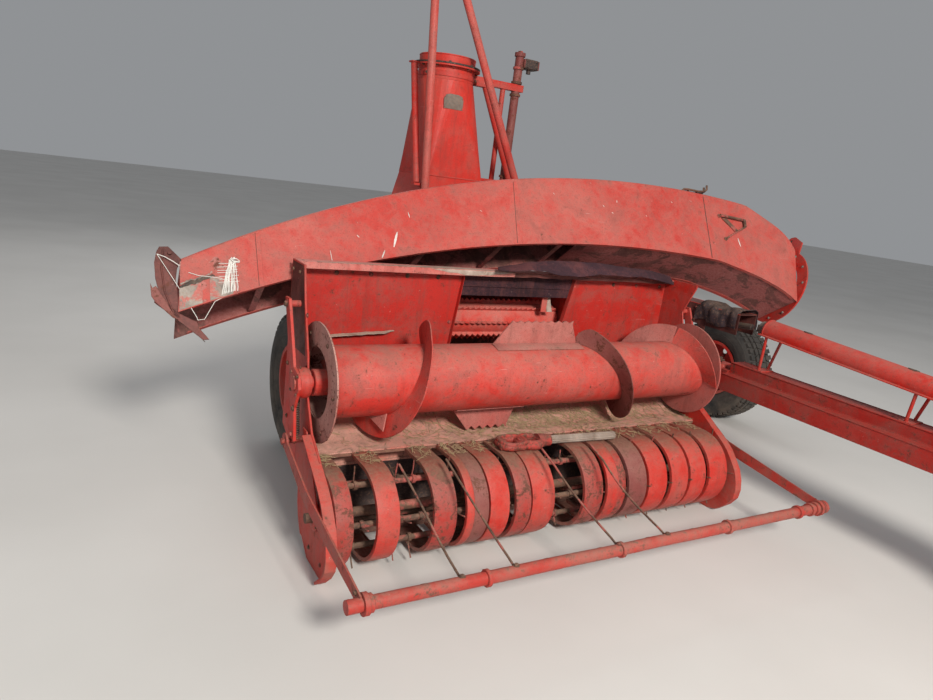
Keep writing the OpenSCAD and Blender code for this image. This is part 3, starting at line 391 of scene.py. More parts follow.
# ---------------------------------------------------------------- mesh building
class Mesh:
    """Gathers verts in the builder's millimetres; make() turns them into one object."""

    def __init__(self):
        self.v, self.f, self.m = [], [], []
        self.mi = 0

    def _add(self, vs, fs):
        k = len(self.v)
        self.v += [tuple(p) for p in vs]
        self.f += [tuple(i + k for i in f) for f in fs]
        self.m += [self.mi] * len(fs)

    def box(self, lo, hi, c=0.0):
        x0, y0, z0 = lo
        x1, y1, z1 = hi
        if c <= 0:
            self._add([(x0, y0, z0), (x1, y0, z0), (x1, y1, z0), (x0, y1, z0), (x0, y0, z1), (x1, y0, z1), (x1, y1, z1), (x0, y1, z1)],
                      [(0, 3, 2, 1), (4, 5, 6, 7), (0, 1, 5, 4), (1, 2, 6, 5), (2, 3, 7, 6), (3, 0, 4, 7)])
            return
        # chamfered all round
        def ring(z, e):
            return [(x0 + e, y0 + e * 0, z), ]
        vs = []
        for z, e in ((z0, c), (z0 + c, 0), (z1 - c, 0), (z1, c)):
            vs += [(x0 + e + c, y0 + e, z), (x1 - e - c, y0 + e, z), (x1 - e, y0 + e + c, z), (x1 - e, y1 - e - c, z),
                   (x1 - e - c, y1 - e, z), (x0 + e + c, y1 - e, z), (x0 + e, y1 - e - c, z), (x0 + e, y0 + e + c, z)]
        fs = [tuple(reversed(range(8))), tuple(range(24, 32))]
        for r in range(3):
            for i in range(8):
                a, b = r * 8 + i, r * 8 + (i + 1) % 8
                fs.append((a, b, b + 8, a + 8))
        self._add(vs, fs)

    def tube(self, pts, r, seg=16, caps=True, r_at=None):
        """Round bar along a path."""
        pts = [Vector(p) for p in pts]
        n = len(pts)
        ring0 = len(self.v)
        prev = None
        vs, fs = [], []
        for i, p in enumerate(pts):
            t = (pts[min(i + 1, n - 1)] - pts[max(i - 1, 0)]).normalized()
            if prev is None:
                a = t.orthogonal().normalized()
            else:
                a = (prev - t * prev.dot(t))
                a = a.normalized() if a.length > 1e-6 else t.orthogonal().normalized()
            prev = a
            b = t.cross(a)
            rr = r_at(i / max(1, n - 1)) if r_at else r
            for k in range(seg):
                q = 2 * math.pi * k / seg
                vs.append(p + a * (rr * math.cos(q)) + b * (rr * math.sin(q)))
        for i in range(n - 1):
            for k in range(seg):
                a0, b0 = i * seg + k, i * seg + (k + 1) % seg
                fs.append((a0, b0, b0 + seg, a0 + seg))
        if caps:
            fs.append(tuple(reversed(range(seg))))
            fs.append(tuple(range((n - 1) * seg, n * seg)))
        self._add(vs, fs)

    def rev(self, prof, c, axis, seg=32, a0=0.0, a1=360.0, closed=True):
        """Solid turned from (distance along the axis, radius) pairs."""
        ax = Vector(axis).normalized()
        e1 = ax.orthogonal().normalized()
        if abs(ax.x) > 0.9:
            e1 = Vector((0, 1, 0))
        e2 = ax.cross(e1)
        c = Vector(c)
        full = abs(a1 - a0) >= 359.9
        m = seg if full else seg + 1
        vs, fs = [], []
        for d, r in prof:
            for k in range(m):
                q = math.radians(a0 + (a1 - a0) * k / seg)
                vs.append(c + ax * d + e1 * (r * math.cos(q)) + e2 * (r * math.sin(q)))
        n = len(prof)
        rng = range(n) if closed else range(n - 1)
        for i in rng:
            j = (i + 1) % n
            for k in range(seg):
                k2 = (k + 1) % m
                fs.append((i * m + k, j * m + k, j * m + k2, i * m + k2))
        self._add(vs, fs)

    def disc_hex(self, p, axis, r, h, seg=6, washer=True, shank=0.0):
        ax = Vector(axis).normalized()
        e1 = ax.orthogonal().normalized()
        e2 = ax.cross(e1)
        p = Vector(p)
        if washer:
            self._prism(p, ax, e1, e2, r * 1.45, h * 0.22, 20)
            p = p + ax * (h * 0.22)
        rot = random.random()
        vs, fs = [], []
        for d, k in ((0, 1.0), (h * 0.8, 1.0), (h, 0.84)):
            for i in range(seg):
                q = 2 * math.pi * (i + rot) / seg
                vs.append(p + ax * d + e1 * (r * k * math.cos(q)) + e2 * (r * k * math.sin(q)))
        fs = [tuple(reversed(range(seg))), tuple(range(2 * seg, 3 * seg))]
        for rr in range(2):
            for i in range(seg):
                a, b = rr * seg + i, rr * seg + (i + 1) % seg
                fs.append((a, b, b + seg, a + seg))
        self._add(vs, fs)
        if shank > 0:
            self._prism(p + ax * h * 0.9, ax, e1, e2, r * 0.48, shank, 12)

    def _prism(self, p, ax, e1, e2, r, h, seg):
        vs = []
        for d in (0, h):
            for i in range(seg):
                q = 2 * math.pi * i / seg
                vs.append(p + ax * d + e1 * (r * math.cos(q)) + e2 * (r * math.sin(q)))
        fs = [tuple(reversed(range(seg))), tuple(range(seg, 2 * seg))]
        for i in range(seg):
            fs.append((i, (i + 1) % seg, seg + (i + 1) % seg, seg + i))
        self._add(vs, fs)

    def cyl(self, p, axis, r, h, seg=24):
        ax = Vector(axis).normalized()
        e1 = ax.orthogonal().normalized()
        self._prism(Vector(p), ax, e1, ax.cross(e1), r, h, seg)

    def plate(self, pts, d):
        """Flat polygon (3-D points in order) thickened by vector d."""
        n = len(pts)
        vs = [tuple(p) for p in pts] + [tuple(add(p, d)) for p in pts]
        fs = [tuple(reversed(range(n))), tuple(range(n, 2 * n))]
        for i in range(n):
            fs.append((i, (i + 1) % n, n + (i + 1) % n, n + i))
        self._add(vs, fs)

    def grid(self, fn, nu, nv, thick=0.0, back=None):
        """Sheet from fn(s, t) with s, t in 0..1; thickened to both sides of itself."""
        pts = [[Vector(fn(i / nu, j / nv)) for j in range(nv + 1)] for i in range(nu + 1)]
        if thick <= 0:
            vs = [p for row in pts for p in row]
            fs = []
            for i in range(nu):
                for j in range(nv):
                    a = i * (nv + 1) + j
                    fs.append((a, a + nv + 1, a + nv + 2, a + 1))
            self._add(vs, fs)
            return
        nor = []
        for i in range(nu + 1):
            row = []
            for j in range(nv + 1):
                du = pts[min(i + 1, nu)][j] - pts[max(i - 1, 0)][j]
                dv = pts[i][min(j + 1, nv)] - pts[i][max(j - 1, 0)]
                q = du.cross(dv)
                row.append(q.normalized() if q.length > 1e-9 else Vector((0, 0, 1)))
            nor.append(row)
        A = [pts[i][j] + nor[i][j] * (thick / 2) for i in range(nu + 1) for j in range(nv + 1)]
        B = [pts[i][j] - nor[i][j] * (thick / 2) for i in range(nu + 1) for j in range(nv + 1)]
        k = len(A)
        w = nv + 1
        fs = []
        for i in range(nu):
            for j in range(nv):
                a = i * w + j
                fs.append((a, a + w, a + w + 1, a + 1))
                fs.append((k + a, k + a + 1, k + a + w + 1, k + a + w))
        for i in range(nu):
            a, b = i * w, i * w + nv
            fs.append((a, k + a, k + a + w, a + w))
            fs.append((b, b + w, k + b + w, k + b))
        for j in range(nv):
            a, b = j, nu * w + j
            fs.append((a, a + 1, k + a + 1, k + a))
            fs.append((b, k + b, k + b + 1, b + 1))
        self._add(A + B, fs)
        if back is not None:
            k0 = len(self.m) - len(fs)
            for q in range(1, 2 * nu * nv, 2):
                self.m[k0 + q] = back

    def make(self, name, mats, body, slot, replaces=(), sharp=32.0, weld=False):
        me = bpy.data.meshes.new(name)
        me.from_pydata([tuple(P(*p)) for p in self.v], [], self.f)
        for m in (mats if isinstance(mats, (list, tuple)) else [mats]):
            me.materials.append(m)
        me.polygons.foreach_set("material_index", self.m)
        me.polygons.foreach_set("use_smooth", [True] * len(me.polygons))
        me.update()
        import bmesh
        bm = bmesh.new()
        bm.from_mesh(me)
        if weld:
            bmesh.ops.remove_doubles(bm, verts=bm.verts, dist=1e-6)
        bmesh.ops.recalc_face_normals(bm, faces=bm.faces)
        lim = math.radians(sharp)
        for e in bm.edges:
            if len(e.link_faces) != 2 or e.calc_face_angle(0.0) > lim:
                e.smooth = False
        bm.to_mesh(me)
        bm.free()
        o = bpy.data.objects.new(name, me)
        bpy.context.scene.collection.objects.link(o)
        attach(o, body)
        if replaces:
            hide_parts(*replaces)
        return o


def nz(x, y, z, s=1.0):
    return noise.noise(Vector((x * s, y * s, z * s)))


# ---------------------------------------------------------------- camera, light, floor
def camera():
    cam = bpy.data.cameras.new("camera")
    cam.sensor_width = 36.0
    cam.lens = 27.0
    cam.clip_start = 0.05
    cam.clip_end = 100
    o = bpy.data.objects.new("camera", cam)
    r = Vector((0.8615, -0.492, 0.1246))
    f = Vector((0.5076, 0.8279, -0.2389)).normalized()
    r = (r - f * r.dot(f)).normalized()
    u = r.cross(f)
    c = P(-1960, -2579, 1568)
    o.matrix_world = Matrix(((r.x, u.x, -f.x, c.x), (r.y, u.y, -f.y, c.y), (r.z, u.z, -f.z, c.z), (0, 0, 0, 1)))
    bpy.context.scene.collection.objects.link(o)
    bpy.context.scene.camera = o


def light(name, loc, at, size, watts, col=(1, 1, 1)):
    l = bpy.data.lights.new(name, "AREA")
    l.shape = "DISK"
    l.size = size
    l.energy = watts
    l.color = col
    o = bpy.data.objects.new(name, l)
    o.location = loc
    o.rotation_euler = (Vector(at) - Vector(loc)).to_track_quat("-Z", "Y").to_euler()
    bpy.context.scene.collection.objects.link(o)


def stage():
    me = bpy.data.meshes.new("floor")
    s, n = 40.0, 1
    me.from_pydata([(-s, -s, -0.002), (s, -s, -0.002), (s, s, -0.002), (-s, s, -0.002)], [], [(0, 1, 2, 3)])
    me.materials.append(floor_mat())
    o = bpy.data.objects.new("floor", me)
    bpy.context.scene.collection.objects.link(o)
    w = bpy.data.worlds.new("studio")
    bpy.context.scene.world = w
    w.use_nodes = True
    w.node_tree.nodes["Background"].inputs[0].default_value = (0.93, 0.96, 1.0, 1)
    w.node_tree.nodes["Background"].inputs[1].default_value = 0.30
    light("key", (-1.7, -7.0, 5.3), (0, 0, 0.8), 1.7, 860, (1.0, 0.955, 0.89))
    light("fill", (-6.5, -4.5, 3.6), (0, 0, 0.8), 5.0, 75, (0.92, 0.96, 1.0))
    light("back", (1.5, 7.5, 6.0), (0, 0, 0.9), 5.0, 150, (1, 1, 1))
    bpy.context.scene.view_settings.view_transform = "Standard"
    bpy.context.scene.view_settings.exposure = 0.0


camera()
stage()

for s in frame["record"]["subparts"]:
    o = NODES[s["node"]]
    m = MATS[s["material_slot"]]
    if not o.material_slots:
        o.data.materials.append(m)
    for ms in o.material_slots:
        ms.material = m



# ---------------------------------------------------------------- the lying spout
def _resample(pts, n):
    d = [0.0]
    for a, b in zip(pts, pts[1:]):
        d.append(d[-1] + math.dist(a, b))
    out = []
    for i in range(n + 1):
        t = d[-1] * i / n
        k = max(j for j in range(len(d)) if d[j] <= t + 1e-9)
        k = min(k, len(pts) - 2)
        f = (t - d[k]) / max(1e-9, d[k + 1] - d[k])
        out.append([pts[k][q] + (pts[k + 1][q] - pts[k][q]) * min(1, f) for q in range(len(pts[0]))])
    return out


def _smooth(pts, k=3):
    for _ in range(k):
        q = [pts[0]]
        for a, b in zip(pts, pts[1:]):
            q.append([a[0] * .75 + b[0] * .25, a[1] * .75 + b[1] * .25])
            q.append([a[0] * .25 + b[0] * .75, a[1] * .25 + b[1] * .75])
        pts = q + [pts[-1]]
    return pts


FLT = math.radians(18)
FLE = (math.sin(FLT), math.cos(FLT))
FLC = (2009, -51)
E_TOP = [FLC[0] + 203 * FLE[0], FLC[1] + 203 * FLE[1]]
E_LOW = [FLC[0] - 184 * FLE[0], FLC[1] - 184 * FLE[1]]
NU = 130
S_TOP = _resample([[-1545 + i * 3275 / 60, top_at(-1545 + i * 3275 / 60)] for i in range(61)] + _smooth([[1740, 420], [1865, 352], [1984, 282], [2050, 212], E_TOP]), NU)
S_LOW = _resample([[-1559 + i * 2959 / 60, low_at(-1559 + i * 2959 / 60)] for i in range(61)] + _smooth([[1420, 5], [1510, -22], [1640, -58], [1760, -104], [1878, -162], E_LOW]), NU)
U_TOP = [p[0] for p in S_TOP]


def spout_dent(u, w, n):
    d = 3.2 * nz(u, w, n, 1 / 330.0) + 1.3 * nz(u, w, n, 1 / 90.0)
    # a broad crease low on the near plate and a knock near the base
    d += 4.0 * math.exp(-((w - 120 - 0.04 * u) / 60) ** 2) * max(0.0, nz(u, 3, 1, 1 / 420.0))
    return max(-5.0, min(5.0, d))


def spout():
    R, ns, na, nt = 16.0, 16, 5, 10
    path = [("a", i / ns) for i in range(ns)] + [("b", i / na) for i in range(na)] + [("c", i / nt) for i in range(nt)]
    path += [("d", i / na) for i in range(na)] + [("e", i / ns) for i in range(ns + 1)]
    m = len(path) - 1
    T = SPOUT_T

    def at(sv, tv):
        i = min(NU, int(round(sv * NU)))
        k = int(round(tv * m))
        tp, lp = S_TOP[i], S_LOW[i]
        kind, f = path[k]
        du, dw = tp[0] - lp[0], tp[1] - lp[1]
        L = math.hypot(du, dw)
        e = (du / L, dw / L)
        inner = L - R
        edge = 1.0
        if kind == "a":
            h, n = inner * f, 1.5
            edge = math.sin(math.pi * min(1, f * 1.0)) ** 0.5
            dd = spout_dent(lp[0] + e[0] * h, lp[1] + e[1] * h, 0) * edge
            ragged = 3.5 * nz(lp[0], 5, 5, 1 / 45.0) * (1 - f) ** 8
            h += ragged
            n = 2.0 + max(0.0, dd * 0.5) + (0.0 if dd > 0 else dd * 0.3 + 0.6)
        elif kind == "b":
            a = f * math.pi / 2
            h, n = inner + R * math.sin(a) - 2.0 * f, 2.0 + R * (1 - math.cos(a))
        elif kind == "c":
            h = L - 2.2 + 1.2 * nz(tp[0], 9, f * 3, 1 / 200.0) - 1.4
            n = R + 2 + (T - 2 * R - 4) * f
        elif kind == "d":
            a = (1 - f) * math.pi / 2
            h, n = inner + R * math.sin(a) - 2.0 * (1 - f), T - 2.0 - R * (1 - math.cos(a))
        else:
            h, n = inner * (1 - f), T - 2.0 - 1.5 * abs(nz(tp[0], f, 7, 1 / 150.0))
        h = max(1.0, min(L - 1.5, h))
        return SP(lp[0] + e[0] * h, lp[1] + e[1] * h, n)

    b = Mesh()
    b.grid(at, NU, m, 4.0, back=1)
    o = b.make("spout_shell", [MATS["faded_paint"], M_INNER], "header", "faded_paint", ("spout_chute",), sharp=40)

    d = Mesh()
    # inner (belly) sheet along the open side towards the base, with its turned edge
    i0 = 74

    def belly(sv, tv):
        i = i0 + sv * (NU - i0)
        a = int(math.floor(i)); f = i - a
        p = [S_LOW[a][q] * (1 - f) + S_LOW[min(NU, a + 1)][q] * f for q in range(2)]
        rise = 30 * max(0.0, 1 - sv / 0.12)
        return SP(p[0], p[1] + 9 + rise + 3 * nz(p[0], tv * 3, 2, 1 / 160.0), 5 + (SPOUT_T - 10) * tv)
    d.grid(belly, 56, 8, 3.0)
    d.make("spout_belly", [M_INNER], "header", "rusty_steel", sharp=40)

    e = Mesh()
    # turned lips along both lower edges, and the far plate's pale lower lip
    for n0, n1, i1 in ((3, 20, NU - 1), (SPOUT_T - 24, SPOUT_T - 3, NU - 1)):
        def lip(sv, tv, n0=n0, n1=n1, i1=i1):
            i = int(round(2 + sv * (i1 - 2)))
            p = S_LOW[i]
            return SP(p[0], p[1] + 3.5 + 1.2 * nz(p[0], n0, 0, 1 / 60.0), n0 + (n1 - n0) * tv)
        e.grid(lip, 100, 1, 3.0)
    # cross strips inside
    e.mi = 1
    for u in (-1250, -760, -500, -60, 300):
        q = [SP(u + a, low_at(u) + 14, n) for a, n in ((0, 6), (28, 6), (28, SPOUT_T - 6), (0, SPOUT_T - 6))]
        e.plate(q, [c * 5 for c in SW])
    e.mi = 0
    e.make("spout_lips", [MATS["faded_paint"], M_INNER], "header", "faded_paint")

    # seams: a lapped sheet edge with its dark gap, on the near plate and over the back
    g = Mesh()
    r = Mesh()
    for (ut, ul, wdt, gap) in ((77, 15, 30, 2.2), (1404, 1334, 34, 4.5), (-1259, -1235, 20, 1.6)):
        iu = min(range(NU + 1), key=lambda i: abs(S_TOP[i][0] - ut))
        il = min(range(NU + 1), key=lambda i: abs(S_LOW[i][0] - ul))
        tp, lp = S_TOP[iu], S_LOW[il]

        def strip(sv, tv, tp=tp, lp=lp, x0=0.0, x1=wdt, n=0.9):
            x = lp[0] + (tp[0] - lp[0]) * (0.02 + sv * 0.92)
            w = lp[1] + (tp[1] - lp[1]) * (0.02 + sv * 0.92)
            return SP(x + x0 + (x1 - x0) * tv + 0.8 * nz(w, x0, 0, 1 / 30.0), w, n)
        g.grid(strip, 20, 2, 2.0)
        r.grid(lambda sv, tv, tp=tp, lp=lp, gap=gap: (lambda q: q)(SP(lp[0] + (tp[0] - lp[0]) * (0.02 + sv * 0.92) - gap * tv + 0.8 * nz(sv * 600, 0, 0, 1 / 30.0), lp[1] + (tp[1] - lp[1]) * (0.02 + sv * 0.92), -0.2)), 20, 1, 1.0)

        def strip2(sv, tv, tp=tp, wdt=wdt):
            return SP(tp[0] + wdt * tv, tp[1] - 1.4, 12 + (SPOUT_T - 24) * sv)
        g.grid(strip2, 6, 2, 2.0)
    g.make("spout_seams", [MATS["faded_paint"]], "header", "faded_paint")
    r.make("spout_seam_gaps", [MATS["dark_iron"]], "header", "dark_iron")

    # knocks down to bright metal
    mk = Mesh()
    for u0, w0, u1, w1, wd in ((-614, 14, -638, -65, 13), (-683, -84, -701, -125, 8), (-548, 125, -543, 96, 5), (1588, 175, 1593, 118, 9), (720, 335, 716, 318, 5), (-938, -104, -930, -175, 4), (-809, -19, -800, -30, 6), (615, 292, 622, 282, 6), (-160, 177, -150, 170, 5), (667, 254, 674, 246, 6), (300, 330, 306, 322, 4), (905, 260, 912, 250, 5), (1120, 372, 1127, 362, 5)):
        def spot(sv, tv, u0=u0, w0=w0, u1=u1, w1=w1, wd=wd):
            u = u0 + (u1 - u0) * sv
            w = w0 + (w1 - w0) * sv
            h = wd * (math.sin(math.pi * (0.06 + 0.88 * sv)) ** 0.6) * (0.75 + 0.5 * abs(nz(w, u, wd, 1 / 9.0)))
            return SP(u + h * (tv - 0.5), w, 0.35)
        mk.grid(spot, 10, 2, 0.7)
    mk.make("spout_bare_marks", [M_CHIP], "header", "bright_steel")

    # hook on the top edge, triangular handle on the plate
    h = Mesh()
    for n in (14, 40):
        h.tube([SP(1236, 463, n), SP(1262, 480, n), SP(1300, 482, n), SP(1376, 477, n), SP(1424, 482, n), SP(1448, 500, n), SP(1456, 526, n)], 6.5, 10)
    for uu in (1300, 1370):
        h.tube([SP(uu, 478, 12), SP(uu, 478, 42)], 5.5, 8)
    c = [(1476, 312), (1668, 296), (1660, 250), (1484, 160)]
    for a, bq, rr in ((0, 1, 8.5), (1, 2, 9.5), (2, 3, 6.0)):
        pa, pb = c[a], c[bq]
        h.tube([SP(pa[0], pa[1], -12), SP((pa[0] + pb[0]) / 2, (pa[1] + pb[1]) / 2, -13), SP(pb[0], pb[1], -12)], rr, 10)
    for pa in (c[0], c[1], c[3]):
        h.tube([SP(pa[0], pa[1], -12), SP(pa[0], pa[1], 2)], 6.0, 10)
        h.disc_hex(SP(pa[0], pa[1], -2), [-q for q in SN], 13, 2.5, washer=False)
    h.plate([SP(1490, 300, -6), SP(1530, 298, -6), SP(1600, 226, -6), SP(1572, 216, -6)], [q * 5 for q in SN])
    h.make("spout_hook_handle", [MATS["rusty_steel"]], "header", "rusty_steel")

    # a perished sheet that has slid from the spout's open side over the rail; its near-black colour is painted shade
    sg = Mesh()
    LO = [(-149, 184, 1159), (-52, 184, 1156), (34, 184, 1167), (125, 184, 1166), (221, 184, 1150), (350, 184, 1147), (478, 184, 1164), (582, 184, 1163), (688, 184, 1160), (771, 184, 1166), (914, 188, 1147), (1040, 196, 1128)]
    HI = [(-102, 262, 1164), (-5, 262, 1180), (82, 262, 1198), (173, 262, 1206), (266, 262, 1212), (396, 262, 1214), (531, 262, 1214), (639, 262, 1206), (750, 262, 1198), (839, 262, 1196), (940, 262, 1186), (1062, 262, 1166)]
    lo_, hi_ = _resample([list(q) for q in LO], 110), _resample([list(q) for q in HI], 110)

    def sag(sv, tv):
        i = int(round(sv * 110))
        a, c = lo_[i], hi_[i]
        w = 6 * nz(a[0], tv * 90, 4, 1 / 60.0) * math.sin(math.pi * min(1.0, tv + 0.12))
        return (c[0] + (a[0] - c[0]) * tv, c[1] + (a[1] - c[1]) * tv - abs(w) * 0.5, c[2] + (a[2] - c[2]) * tv ** 1.35 + w + 3.0 * nz(a[0], 8, 8, 1 / 24.0) * tv)
    sg.grid(sag, 110, 8, 2.0)
    sg.make("spout_slid_sheet", [M_SHADE_SHEET], "header", "rusty_steel", sharp=60)

    # the patched thin end: bare grey sheet, its crack, and the binding twine
    pch = Mesh()

    def patch(sv, tv, u0=-1554, u1=-1470):
        u = u0 + (u1 - u0) * sv + (6 * nz(tv * 90, u0, 0, 1 / 18.0) if 0.02 < sv else 0)
        lo = low_at(u) + 5
        q_ = (u + 1554) / 222.0
        hi = lo + 98 + 12 * math.sin(q_ * 5) + 12 * nz(u, 1, 1, 1 / 26.0) - 26 * max(0, q_ - 0.8) / 0.2
        w = lo + (hi - lo) * tv
        return SP(u, w, 0.9 - 2.6 * abs(nz(u, w, 1, 1 / 34.0)))
    pch.grid(patch, 26, 18, 1.6)
    pch.grid(lambda sv, tv: patch(sv, tv, -1440, -1350), 26, 18, 1.6)
    stn = Mesh()

    def stain(sv, tv):
        u = -1552 + 226 * sv
        lo = low_at(u) + 6
        hi = top_at(u) - 16 if u > -1480 else min(top_at(u) - 16, 250 + (u + 1552) * 0.9)
        w = lo + (max(lo + 120, hi) - lo) * tv
        return SP(u, w, 1.0 - 0.5 * abs(nz(u, w, 5, 1 / 60.0)))
    stn.grid(stain, 40, 20, 0.6)
    stn.make("spout_stained_end", [M_STAIN], "header", "faded_paint", sharp=50)

    crk = Mesh()

    def crack(sv, tv):
        u = -1552 + 132 * sv
        w = low_at(u) + 104 + 4 * sv + 9 * nz(u, 0, 0, 1 / 16.0) + (tv - 0.5) * (19 * math.sin(math.pi * (0.12 + 0.84 * sv)) * (0.7 + 0.6 * abs(nz(u, 4, 0, 1 / 11.0))) + 2)
        return SP(u, w, -2.4 - 2.0 * nz(u, tv, 0, 1 / 12.0))
    crk.grid(crack, 60, 2, 1.0)

    def lifted(sv, tv):
        u = -1550 + 120 * sv
        w = low_at(u) + 112 + 4 * sv + 9 * nz(u, 0, 0, 1 / 16.0) + 11 * tv * (0.4 + abs(nz(u, 7, 0, 1 / 13.0)))
        return SP(u, w, -3.4 - 5 * (1 - tv) * abs(nz(u, 2, 2, 1 / 17.0)))
    pch.grid(lifted, 44, 2, 1.0)
    pch.make("spout_end_patch", [M_GREY], "header", "bright_steel", sharp=50)
    crk.make("spout_crack", [MATS["dark_iron"]], "header", "dark_iron")
    tw = Mesh()
    rt = random.Random(5)
    for k in range(19):
        u = -1398 + k * 3.5 + rt.uniform(-2, 2)
        lo = low_at(u)
        v = -1352 + (u + 1364) * 0.30
        tw.tube([SP(u + rt.uniform(-3, 3), lo + 2, 5), SP(u + 2 + rt.uniform(-3, 3), lo + 30, -3.2 - rt.random()), SP(u + (v - u) * 0.35 + rt.uniform(-4, 4), lo + 80, -3.0 - rt.random()), SP(u + (v - u) * 0.7 + rt.uniform(-4, 4), lo + 118 + rt.uniform(-6, 8), -3.0), SP(v + rt.uniform(-3, 3), lo + 160 + rt.uniform(-12, 12), -2.0)], 1.15, 5)
    for k in range(7):
        w = low_at(-1370) + 60 + 14 * k + rt.uniform(-3, 3)
        tw.tube([SP(-1404 + rt.uniform(-8, 4), w - 4, -3), SP(-1366, w + rt.uniform(-3, 3), -4.5), SP(-1330 + rt.uniform(-5, 6), w + 6, -3)], 1.1, 5)
    tw.tube([SP(-1392, -268, -4), SP(-1440, -264, -4.5), SP(-1480, -262, -5), SP(-1520, -250, -5)], 1.2, 5)
    knot = SP(-1344, -192, -6)
    tw.tube([add(knot, [0, 0, 0]), add(knot, [-14, -2, 10]), add(knot, [6, -4, 14]), add(knot, [20, -2, 6]), add(knot, [2, -3, -2]), add(knot, [-10, -3, -14])], 2.6, 6)
    tw.tube([SP(-1366, -186, -5), SP(-1322, -190, -5)], 2.6, 6)
    f0 = SP(-1634, -172, 8)
    tw.tube([f0, SP(-1605, -186, 0), SP(-1575, -206, -4), SP(-1552, -222, -2)], 1.7, 6)
    tw.tube([f0, SP(-1566, -296, 0), SP(-1490, -436, 6), SP(-1487, -446, 8)], 1.3, 6)
    tw.tube([SP(-1487, -446, 8), SP(-1462, -442, 8), SP(-1422, -366, 4), SP(-1396, low_at(-1396) + 2, 2)], 1.3, 6)
    tw.make("spout_twine", [M_TWINE], "header", "bright_steel")


def _around(p, a, b, c):
    return (p[0] - a, p[1] - b, p[2] - c), (p[0] + a, p[1] + b, p[2] + c)


def spout_fittings():
    # base flange's bolts and lug
    FA = [math.cos(FLT) * SU[i] - math.sin(FLT) * SW[i] for i in range(3)]
    e1 = [math.sin(FLT) * SU[i] + math.cos(FLT) * SW[i] for i in range(3)]
    c = SP(FLC[0], FLC[1], 160)
    b = Mesh()
    k = Mesh()
    for i in range(12):
        a = math.radians(i * 30 + 12)
        d = [math.cos(a) * e1[q] + math.sin(a) * SN[q] for q in range(3)]
        b.disc_hex(add(add(c, d, 214), FA, 9.8), FA, 6.2, 5, washer=True)
        b.disc_hex(add(add(c, d, 214), FA, 0.2), [-q for q in FA], 6.2, 5, washer=True)
    b.make("flange_bolts", [MATS["bright_steel"]], "header", "bright_steel")
    # lifting lug on the flange's rim
    lg = Mesh()

    def fl(p, q, k_):
        return [c[j] + e1[j] * p + SN[j] * q + FA[j] * k_ for j in range(3)]
    o1 = [(225, -82), (262, -94), (297, -114), (300, -134), (288, -166), (222, -214), (154, -184)]
    lg.plate([fl(p, q, 1) for p, q in o1], [j * 8 for j in FA])
    lg.rev([(0, 9), (0, 15), (10, 15), (10, 9)], fl(272, -136, 0), FA, 20)
    lg.mi = 1
    lg.rev([(0, 0.5), (0, 9), (9.4, 9), (9.4, 0.5)], fl(272, -136, 0.2), FA, 20)
    lg.make("flange_lug", [MATS["red_paint"], MATS["dark_iron"]], "header", "red_paint")


